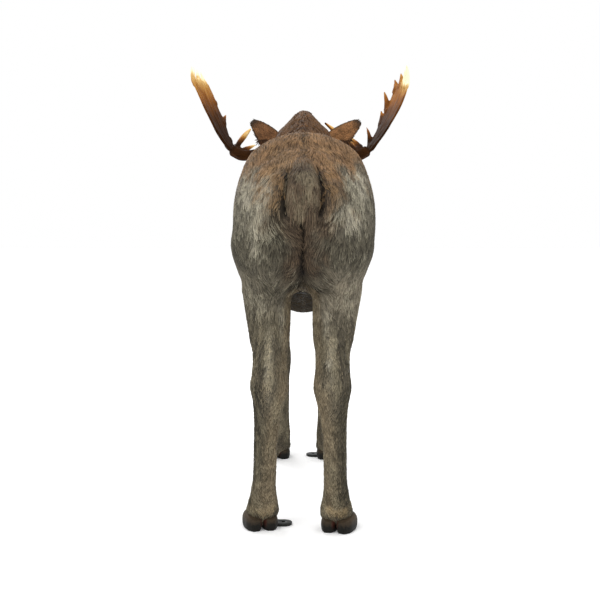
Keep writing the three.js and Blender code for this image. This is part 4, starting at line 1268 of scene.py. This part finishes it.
def unwrapped_roots(faces_used, faces_of_roots, weights):
    """The roots' places on an unwrap of their stretch of skin."""
    used = corners[faces_used]
    keep, local = np.unique(used, return_inverse=True)
    sheet = make_mesh("unwrap", skin[keep] * MM, local.reshape(-1, 4))
    ob = make_object("unwrap", sheet)
    bpy.context.view_layer.objects.active = ob
    ob.select_set(True)
    sheet.uv_layers.new(name="flat")
    bpy.ops.object.mode_set(mode="EDIT")
    bpy.ops.mesh.select_all(action="SELECT")
    bpy.ops.uv.smart_project(angle_limit=math.radians(66), island_margin=0.004)
    bpy.ops.object.mode_set(mode="OBJECT")
    flat = read(sheet.uv_layers["flat"].data, "uv", 2).reshape(-1, 4, 2)
    bpy.data.objects.remove(ob)
    bpy.data.meshes.remove(sheet)
    row = np.searchsorted(faces_used, faces_of_roots)
    return np.clip((flat[row] * weights[..., None]).sum(1), 0.003, 0.994)


def coat_label():
    """Which piece of the coat each tuft belongs to."""
    x, y, z = root.T
    left = x < 0
    back = np.where(y > -520, "flank", np.where(z > 1400, "rump", "thigh"))
    names = np.where(y > 150, "shoulder", back).astype("U24")
    names = np.where(root_area["neck"] > 0.5, "neck", names)
    names = np.char.add(names, np.where(left, "_left", "_right"))
    names = np.where(root_area["shank"] > 0.5, np.where(y < 0, "shanks_hind", "shanks_fore"), names)
    for name in ("tail", "bell", "face"):
        names = np.where(root_area[name] > 0.5, name, names)
    return np.where(root_area["ear"] > 0.5, "ears", names)


labels = coat_label()
coat_paint = tuft_material("painted_tufts")
for label in np.unique(labels):
    chosen = np.flatnonzero(labels == label)
    faces_of = root_face[chosen]
    patch = unwrapped_roots(np.unique(faces_of), faces_of, corner_weight[chosen])
    ob = make_object("coat_" + label, tuft_mesh("coat_" + label, chosen, patch), coat_paint)
    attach(ob, "root")

# ---- Antlers -------------------------------------------------------------------------------------------
ANTLER_ROOT = np.array([0.0, 1205.0, 1750.0])
# Places out from the root, forward and up; the beam's and brow's rows end with a radius.
BURR = [[58, 8, 70, 34], [68, 7, 64, 43], [78, 7, 58, 41], [92, 6, 53, 33]]
BEAM = [
    [48, 8, 76, 30], [72, 6, 62, 31], [138, 4, 38, 28], [214, -4, 8, 28],
    [290, -10, -10, 30], [350, -12, -14, 33], [402, -12, 12, 33],
]
PALM_SPINE = {
    "left": [
        [372, -12, -22], [428, -14, 34], [488, -20, 118], [534, -28, 210],
        [575, -34, 296], [609, -40, 375], [634, -44, 436],
    ],
    "right": [
        [376, -12, -22], [434, -14, 34], [494, -20, 118], [546, -28, 210],
        [588, -34, 296], [616, -40, 375], [628, -44, 428],
    ],
}
PALM_WIDTH = [[70, 0.5], [120, 0.42], [215, 0.36], [310, 0.33], [365, 0.33], [340, 0.35]]
# How far the front of a palm leans to the midline, from its foot to its top.
PALM_CUP = {
    "left": [0.56, 0.5, 0.46, 0.38, 0.31, 0.31, 0.33],
    "right": [0.26, 0.25, 0.2, 0.13, 0.09, 0.08, 0.08],
}
BROW = [[318, 4, -18, 27], [346, 60, -4, 25], [368, 118, 20, 28], [382, 170, 42, 26]]
# Tines on the palm: place up and across it, length, way out, forward and up, root radius.
PALM_TINES = {
    "left": [
        [0.97, 0.14, 86, 0.27, -0.11, 0.96, 20], [0.99, 0.34, 84, 0.15, 0.41, 0.9, 20],
        [0.99, 0.58, 80, 0.28, 0.43, 0.86, 20], [0.96, 0.82, 84, 0.46, -0.12, 0.88, 20],
        [0.72, 0.94, 100, 0.36, 0.8, 0.48, 24], [0.46, 0.96, 96, -0.01, 0.83, 0.55, 25],
        [0.26, 0.93, 100, 0.45, 0.86, 0.23, 24],
    ],
    "right": [
        [0.97, 0.16, 104, 0.1, -0.26, 0.96, 26], [0.99, 0.36, 70, 0.13, -0.12, 0.98, 24],
        [0.98, 0.6, 84, 0.2, 0.61, 0.77, 25], [0.93, 0.88, 110, 0.18, 0.79, 0.58, 26],
        [0.63, 0.96, 140, 0.07, 0.51, 0.86, 28], [0.46, 0.96, 120, 0.22, 0.68, 0.69, 27],
        [0.22, 1.0, 120, 0.0, 0.51, 0.86, 24],
    ],
}
BROW_TINES = {
    "left": [
        [386, 132, 34, 155, -0.46, 0.45, 0.77, 22], [380, 165, 42, 165, -0.39, 0.58, 0.71, 25],
        [350, 96, 12, 160, -0.39, 0.87, 0.29, 19],
    ],
    "right": [
        [386, 132, 34, 140, -0.36, 0.73, 0.58, 19], [380, 165, 42, 165, -0.25, 0.93, 0.28, 19],
        [350, 96, 12, 262, -0.55, 0.46, 0.7, 27],
    ],
}
TINE_AT = np.array([-0.45, -0.2, 0, 0.15, 0.35, 0.6, 0.82, 1.0])
TINE_FOOT = 70
# How far the paint has gone from dark to cream, by height.
AGE_HEIGHTS = [1750, 1900, 1990, 2070, 2140, 2195, 2235]
AGE_AT = [0.05, 0.14, 0.3, 0.46, 0.62, 0.85, 1.0]


def antler_place(side, points):
    """Places out, forward and up from the antler's root, on the turned head."""
    p = np.asarray(points, float)
    return turn_head(ANTLER_ROOT + p[..., :3] * [side, 1, 1])


def antler_tube(side, rows, flat=1.0, domes=(0, 0), around=32):
    """A tube whose rows end with a radius; flat narrows it up and down."""
    rows = np.asarray(rows, float)
    radius = rows[:, 3:4] * [1, flat, flat]
    stations = np.hstack([antler_place(side, rows), radius, np.full((len(rows), 2), 2.0)])
    return loft(stations, around=around, spans=6, domes=domes, across=(0.2, 1, 0.1))


def tine_solid(side, root, way, length, radius, rim, flare, base):
    """A tine out of its base, bent inward: radius * (1 - 0.74 t^1.8), wide along the rim at its foot."""
    t = TINE_AT[:, None]
    inward = turn_head(POLL + [-side, 0.0, 0.0]) - turn_head(POLL)
    ahead = np.maximum(t, 0) * length
    middle = root + unit(way[None]) * ahead + inward * 0.14 * ahead**2 / length
    middle = middle + unit(base[None]) * np.minimum(t, 0) * TINE_FOOT
    size = radius * (1 - 0.74 * np.maximum(t, 0) ** 1.8)
    wide = size * (1 + flare * np.exp(-(((t + 0.25) / 0.3) ** 2)))
    thin = np.minimum(size, 19) * 0.85
    stations = np.hstack([middle, wide, thin, thin, np.full((len(t), 2), 2.0)])
    return loft(stations, around=20, spans=4, domes=(0, 4), across=rim)


def palm_surface(name, side):
    """The palm's middle surface: across the spine it cups inward by a share of its reach, and droops."""

    def point(u, v):
        spine = spline(PALM_SPINE[name], u.ravel())[0]
        width, rear = spline(PALM_WIDTH, u.ravel())[0].T
        lean = spline(np.array(PALM_CUP[name])[:, None], u.ravel())[0][:, 0]
        reach = (v.ravel() - rear) * width
        cup = np.where(reach > 0, lean, -0.05) * np.abs(reach) + 0.0002 * reach**2
        lift = -0.0006 * reach**2 + 0.08 * reach
        place = spine + np.stack([-cup, reach, lift], -1)
        return antler_place(side, place).reshape(*u.shape, 3)

    return point


def palm_thickness(u, v):
    """Thick along the spine and low down, thin at the rims."""
    return (31 - 12 * u - 13 * np.abs(2 * v - 1)) * (0.6 + 0.4 * smoothstep(0, 0.2, u))


def antler_solids(name, side):
    """The solids of an antler, and its tines as (root, way, length, ...) for the paint."""
    point = palm_surface(name, side)

    def at(u, v):
        return point(np.array([[u]], float), np.array([[v]], float))[0, 0]

    solids = [
        antler_tube(side, BEAM, domes=(0, 20)), antler_tube(side, BURR, domes=(6, 6)),
        antler_tube(side, BROW, flat=0.85, domes=(0, 20)), plate(point, palm_thickness, rows=60, cols=48),
    ]
    tines = []
    turn_way = turn_head(np.eye(3) + POLL) - turn_head(POLL)
    for u, v, length, *way, radius in PALM_TINES[name]:
        top = u > 0.9
        root = at(u, v)
        rim = (at(u, v - 0.1) if top else at(u - 0.1, v)) - root
        inner = at(u - 0.15, v) if top else at(u - 0.06, v - 0.25)
        turned = np.array(way) * [side, 1, 1] @ turn_way
        tines.append((root, turned, length, radius * 0.72, rim, 0.8 if top else 0.45, root - inner))
    for *place, length, out, forward_part, up, radius in BROW_TINES[name]:
        turned = np.array([side * out, forward_part, up]) @ turn_way
        tines.append((antler_place(side, place), turned, length, radius * 1.15, (0, 1, 0.2), 0.2, turned))
    return solids + [tine_solid(side, *tine) for tine in tines], tines


def antler_group():
    """Antler paint: dark brown at the root, orange brown, then cream at the tips, with long fine streaks."""
    group, n, given, out = node_group(
        "antler_paint", [("Age", "Float", 0.5), ("Streak", "Vector", None), ("Place", "Vector", None)],
        [("Color", "Color"), ("Roughness", "Float"), ("Height", "Float")],
    )
    streak = n.noise(given["Streak"], 70, 4, 0.6)
    blotch = n.noise(given["Place"], 16, 3)
    shifted = n.math("ADD", given["Age"], n.math("MULTIPLY", n.math("SUBTRACT", streak, 0.5), 0.35))
    shifted = n.math("ADD", shifted, n.math("MULTIPLY", n.math("SUBTRACT", blotch, 0.5), 0.3))
    colour = n.ramp(shifted, [
        (0.0, "2b1809"), (0.2, "44270f"), (0.36, "613a18"), (0.5, "855222"),
        (0.66, "ab7a3c"), (0.82, "d4ae6e"), (0.94, "fbf0c8"),
    ])
    n.join(out, Color=colour, Roughness=n.span(streak, 0.3, 0.7, 0.5, 0.7), Height=streak)
    return group


def antler_material():
    """Painted horn with a satin finish."""
    mat, n, shader = material("antler_horn", 0.6, Specular_IOR_Level=0.03)
    place = n.place()
    horn = n.add("ShaderNodeGroup", {"Age": n.attribute("age"), "Streak": n.attribute("streak", "Vector"),
                                     "Place": place}, node_tree=antler_group())
    n.join(shader.inputs, Base_Color=horn.outputs["Color"], Roughness=horn.outputs["Roughness"],
           Normal=n.bump(horn.outputs["Height"], 0.5, 0.004))
    return mat


def make_antler(name, side, mat):
    """One antler: its solids joined to one smooth skin with long furrows and a knobbed burr."""
    solids, tines = antler_solids(name, side)
    mesh, p = voxel_skin("antler_" + name, merge([(v * MM, q, t) for v, q, t in solids]), ANTLER_VOXEL)
    p = p / MM
    own_edges = edge_pairs(mesh)
    p = relax(p, own_edges, 5, 0.5)
    set_places(mesh, p)
    n = normals_of(mesh)
    burr = np.exp(-(((line_distance(p, [antler_place(side, BURR[1])])[0] - 30) / 22) ** 2))
    spine = antler_place(side, PALM_SPINE[name])
    along = line_distance(p, spine)[1]
    spread = 1 + 0.0012 * np.maximum(p[:, 2] - 1740, 0)
    fan = np.stack([(p[:, 1] - 1160) / spread, p[:, 0] * 0.4, p[:, 2] * 0.1], -1)
    beam_part = smoothstep(1800, 1740, p[:, 2])
    lengthwise = np.stack([p[:, 0] * 0.12, p[:, 1], p[:, 2]], -1)
    streak = mix(fan, lengthwise, beam_part)
    furrow = cloud(streak, 15, 21) - 0.5 + 0.5 * (cloud(streak, 7, 22) - 0.5)
    ribs = sum(stroke(p, [tine[0], spine[1]], 13, 3.5) for tine in tines[:7])
    p = p + n * (2.6 * furrow + np.minimum(ribs, 4) + 5 * burr * (cloud(p, 11, 23) - 0.5))[:, None]
    set_places(mesh, p)
    reach_ahead = p[:, 1] - antler_place(side, PALM_SPINE[name][5])[1]
    age = np.interp(p[:, 2], AGE_HEIGHTS, AGE_AT)
    if side > 0:
        age = age + 0.28 * smoothstep(2050, 2190, p[:, 2]) * smoothstep(40, -60, reach_ahead)
        age = age - 0.34 * smoothstep(20, 110, reach_ahead) * smoothstep(2080, 2200, p[:, 2])
    pale_tips = [0, 1, 7, 8, 9] + ([2, 3] if side < 0 else [])
    for index, (root, way, length, *_) in enumerate(tines):
        tip = root + unit(way[None])[0] * length
        d, t = line_distance(p, [root, tip])
        on_tine = smoothstep(40, 24, d) * smoothstep(0.0, 0.35, t)
        gain = 0.55 if index in pale_tips else 0.27
        age = np.maximum(age, on_tine * (0.28 + gain * smoothstep(0.1, 0.9, t)))
    inside = 0.1 * smoothstep(-30, 60, (spine[3, 0] - p[:, 0]) * side)
    age = age - inside * (along > 0.1) * smoothstep(0.6, 0.4, age)
    set_attributes(mesh, age=age, streak=streak * MM)
    ob = make_object("antler_" + name, mesh, mat)
    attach(ob, "root")
    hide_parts(*(f"antler_{name}_{part}" for part in ("beam", "brow", "palm")))


horn_paint = antler_material()
make_antler("left", -1, horn_paint)
make_antler("right", 1, horn_paint)


# ---- Eyes ----------------------------------------------------------------------------------------------
def eye_material():
    """Dark brown glass: a wide pupil in a brown iris, under a clear coat."""
    mat, n, shader = material("eye_glass", 0.2, Coat_Weight=0.25, Coat_Roughness=0.04, Specular_IOR_Level=0.2)
    local = n.add("ShaderNodeSeparateXYZ", {0: n.attribute("eye_place", "Vector")}).outputs
    across = n.math("MULTIPLY", local[1], 0.72)
    across = n.math("MULTIPLY", across, across)
    reach = n.math("SQRT", n.math("ADD", across, n.math("MULTIPLY", local[2], local[2])))
    n.join(shader.inputs, Base_Color=n.ramp(reach, [
        (0.0, "060504"), (0.27, "080605"), (0.33, "40200b"),
        (0.5, "54300f"), (0.6, "140b06"), (0.75, "2b1a10"),
    ]))
    return mat


def ball(rows=24, around=40):
    """A unit ball whose poles lie on +X and -X: (cos a, sin a cos b, sin a sin b)."""
    a = np.linspace(0, math.pi, rows + 1)[1:-1, None]
    b = 2 * math.pi * np.arange(around) / around
    ring = np.stack([np.cos(a) + 0 * b, np.sin(a) * np.cos(b), np.sin(a) * np.sin(b)], -1)
    return np.vstack([ring.reshape(-1, 3), [[1, 0, 0], [-1, 0, 0]]]), *tube(rows - 1, around)


glass = eye_material()
for name, side in (("left", -1), ("right", 1)):
    local, quads, tris = ball()
    if side < 0:
        local = local * [-1, 1, 1]
        quads, tris = quads[:, ::-1], tris[:, ::-1]
    head_place = np.array([side * EYE_AT[0], EYE_AT[1], EYE_AT[2]]) + local * EYE_RADIUS
    mesh = make_mesh("glass_eye_" + name, from_head(head_place) * MM + ORIGIN, quads, tris)
    set_attributes(mesh, eye_place=local)
    ob = make_object("glass_eye_" + name, mesh, glass)
    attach(ob, "root")
    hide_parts("eye_" + name)

# ---- Hooves --------------------------------------------------------------------------------------------
# A claw's rows: forward of the heel, out from the foot's middle, up, then half widths: side, top and bottom.
CLAW = [
    [4, 32, 27, 25, 30, 34], [24, 35, 29, 34, 40, 46], [50, 37, 31, 37, 46, 52], [100, 38, 30, 38, 50, 52],
    [150, 32, 20, 30, 36, 42], [190, 24, 10, 15, 16, 28],
]
CLEFT_HALF = 4.5


def foot_frame(leg):
    """Where a foot's heel stands and which way it points."""
    rows = leg_stations(leg)
    toe_out = math.radians(leg["toe_out"])
    x = rows[-1, 0] - leg["side"] * math.sin(toe_out) * FOOT_LENGTH / 4
    y = HEEL_Y[leg["kind"]] + leg["ahead"] + 8
    turn = -leg["side"] * toe_out
    c, s = math.cos(turn), math.sin(turn)
    return np.array([x, y, 0.0]), np.array([[c, s, 0], [-s, c, 0], [0, 0, 1]])


def claw(leg, side):
    """One claw: a loft whose inner wall is flat beside the cleft and whose sole is flat on the floor."""
    rows = np.array(CLAW, float)
    stations = np.column_stack([side * rows[:, 1], rows[:, 0], rows[:, 2:6], np.full((len(rows), 2), 2.3)])
    local, quads, tris = loft(stations, around=48, spans=7, domes=(12, 14))
    local[:, 2] = np.maximum(local[:, 2], 0)
    gap = CLEFT_HALF * np.maximum(1 - smoothstep(22, 40, local[:, 2]), smoothstep(40, 90, local[:, 1])) + 0.2
    local[:, 0] = side * np.maximum(side * local[:, 0], gap)
    crown = 58 + 0.21 * local[:, 1]
    over = local[:, 2] - crown
    local[:, 2] = np.where(over > -8, crown - 8 + 5 * np.tanh((over + 8) / 10), local[:, 2])
    local[:, :2] += (local[:, :2] - [side * 36, 90]) * (0.02 * np.exp(-((over + 12) / 6) ** 2))[:, None]
    at, frame_turn = foot_frame(leg)
    return local @ frame_turn + at, quads, tris, local


def hoof_material():
    """Dark painted hoof: growth lines round it, a brown fade under the hair, red brown in the cleft."""
    mat, n, shader = material("hoof_horn", 0.6, Specular_IOR_Level=0.06)
    place = n.place()
    local = n.attribute("claw_place", "Vector")
    axes = n.add("ShaderNodeSeparateXYZ", {0: local}).outputs
    flat_place = n.add("ShaderNodeMapping", {"Vector": local, "Scale": (0.02, 0.02, 1.0)}).outputs[0]
    lines = n.noise(flat_place, 160.0, 2.0)
    grain = n.noise(place, 120, 3)
    dark = n.blend(grain, (0.006, 0.006, 0.005, 1), (0.017, 0.016, 0.014, 1))
    crown = n.math("ADD", axes[2], n.math("MULTIPLY", n.math("SUBTRACT", grain, 0.5), 0.03))
    faded = n.blend(n.span(crown, 0.028, 0.062, 0.0, 0.9), dark, (0.06, 0.042, 0.026, 1))
    near_cleft = n.span(n.math("ABSOLUTE", axes[0]), 0.017, 0.006)
    near_cleft = n.math("MULTIPLY", near_cleft, n.span(axes[2], 0.012, 0.042))
    near_cleft = n.math("MULTIPLY", near_cleft, n.span(axes[1], 0.05, 0.0))
    n.join(shader.inputs, Base_Color=n.blend(near_cleft, faded, (0.06, 0.013, 0.009, 1)),
           Roughness=n.span(grain, 0.3, 0.7, 0.42, 0.6),
           Normal=n.bump(n.math("ADD", lines, n.math("MULTIPLY", grain, 0.4)), 0.35, 0.0025))
    return mat


horn = hoof_material()
for leg_name, leg in LEGS.items():
    for toe, side in (("toe_a", -1), ("toe_b", 1)):
        verts, quads, tris, local = claw(leg, side)
        mesh = make_mesh(f"hoof_{leg_name}_{toe}", verts * MM + ORIGIN, quads, tris)
        set_attributes(mesh, claw_place=local * MM)
        ob = make_object(f"hoof_{leg_name}_{toe}", mesh, horn)
        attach(ob, "root")
        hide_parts(f"{leg_name}_{toe}")

# ---- Anchor tabs ---------------------------------------------------------------------------------------
TAB = dict(half=40.0, thickness=13.0, beyond=64.0, under=50.0, hole=8.0, ahead=112.0, bevel=2.2)


def tab_solid(leg):
    """A flat tab with a round end and a bolt hole: a section carried round, from hole to outline.

    At each turn the outline is the half circle of the end, or the straight sides and back of the root.
    """
    turn = 2 * math.pi * np.arange(96) / 96
    c, s = np.cos(turn), np.sin(turn)
    back = TAB["under"] + TAB["beyond"] - TAB["half"]
    with np.errstate(divide="ignore"):
        straight = np.minimum(back / np.maximum(c, 1e-6), TAB["half"] / np.maximum(np.abs(s), 1e-6))
        reach = np.where(c > 0, straight, TAB["half"])
    hole, t, b = TAB["hole"], TAB["thickness"], TAB["bevel"]
    section = [
        (0, 0, b), (0, b, 0), (0.5, 0, 0), (1, -b, 0), (1, 0, b), (1, 0, t - b),
        (1, -b * 0.3, t - b * 0.3), (1, -b, t), (0.5, 0, t), (0, b, t), (0, 0, t - b), (0, 0, t / 2),
    ]
    rings = []
    for share, inset, z in section:
        r = hole + (reach - hole) * share + inset
        rings.append(np.stack([r * c, r * s, np.full_like(c, z)], -1))
    grid = np.stack(rings, 1)
    around, k = grid.shape[:2]
    a = np.arange(around)[:, None]
    j = np.arange(k)
    after = (a + 1) % around
    quads = np.stack([a * k + j, after * k + j, after * k + (j + 1) % k, a * k + (j + 1) % k], -1)
    local = grid.reshape(-1, 3) - [TAB["beyond"] - TAB["half"], 0, 0]
    local[:, 0] *= leg["side"]
    quads = quads.reshape(-1, 4)
    if leg["side"] < 0:
        quads = quads[:, ::-1]
    at = foot_frame(leg)[0] + [-leg["side"] * 62, TAB["ahead"], 0]
    return local + at, quads


def tab_material():
    """Dark painted metal, scuffed to a paler grey on its high grain."""
    mat, n, shader = material("tab_paint", 0.5, Specular_IOR_Level=0.25)
    place = n.place()
    scuff = n.noise(place, 180, 5, 0.65)
    paint_mix = n.blend(n.span(scuff, 0.55, 0.75), (0.010, 0.011, 0.009, 1), (0.03, 0.03, 0.027, 1))
    n.join(shader.inputs, Base_Color=paint_mix, Roughness=n.span(scuff, 0.35, 0.7, 0.38, 0.62),
           Normal=n.bump(scuff, 0.3, 0.001))
    return mat


tab_paint = tab_material()
for leg_name in ("hindleg_left", "foreleg_right"):
    verts, quads = tab_solid(LEGS[leg_name])
    ob = make_object(f"tab_{leg_name}", make_mesh(f"tab_{leg_name}", verts * MM + ORIGIN, quads), tab_paint)
    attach(ob, "root")
    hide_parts(f"{leg_name}_anchor_tab")

# ---- Camera, floor and light -------------------------------------------------------------------------
CAMERA_BACK = 5.8  # behind the body's middle
CAMERA_HEIGHT = 1.457
CAMERA_DIP = math.radians(4.86)
CAMERA_SIDE = -0.019
LENS = 69.18
FLOOR_HALF = 30.0
WHITE = (1, 1, 1, 1)
camera = bpy.data.objects.new("camera", bpy.data.cameras.new("camera"))
bpy.context.scene.collection.objects.link(camera)
camera.location = (ORIGIN[0] + CAMERA_SIDE, ORIGIN[1] - CAMERA_BACK, CAMERA_HEIGHT)
camera.rotation_euler = (math.pi / 2 - CAMERA_DIP, 0, 0)
camera.data.lens = LENS
camera.data.sensor_width = 36
bpy.context.scene.camera = camera

floor_corners = np.array([[-1, -1, 0], [1, -1, 0], [1, 1, 0], [-1, 1, 0]]) * FLOOR_HALF
floor_mesh = make_mesh("floor", floor_corners, np.array([[0, 1, 2, 3]]))
paper = material("floor_paper", 0.8, Base_Color=WHITE, Emission_Color=WHITE, Emission_Strength=0.07)[0]
floor = make_object("floor", floor_mesh, paper, smooth=False)
bpy.context.scene.view_settings.view_transform = "Standard"
world = bpy.data.worlds.new("studio")
bpy.context.scene.world = world
world.use_nodes = True
background = world.node_tree.nodes["Background"].inputs
background["Color"].default_value = WHITE
background["Strength"].default_value = 1.0


def soft_lamp(name, place, size, power):
    """A soft square lamp at a place, turned to the statue's middle."""
    lamp = bpy.data.lights.new(name, "AREA")
    lamp.size = size
    lamp.energy = power
    ob = bpy.data.objects.new(name, lamp)
    bpy.context.scene.collection.objects.link(ob)
    away = np.array(place, float) - [0, 0, 1.2]
    ob.location = place
    tilt = math.atan2(math.hypot(away[0], away[1]), away[2])
    ob.rotation_euler = (tilt, 0, math.atan2(away[1], away[0]) + math.pi / 2)


soft_lamp("key_soft", (-2.2, -4.5, 5.2), 2.0, 110)
soft_lamp("fill_soft", (3.6, -4.2, 3.2), 2.5, 30)
soft_lamp("front_soft", (-2.6, 5.0, 4.5), 2.5, 110)
soft_lamp("top_soft", (0.5, 0.3, 6.0), 3.0, 80)
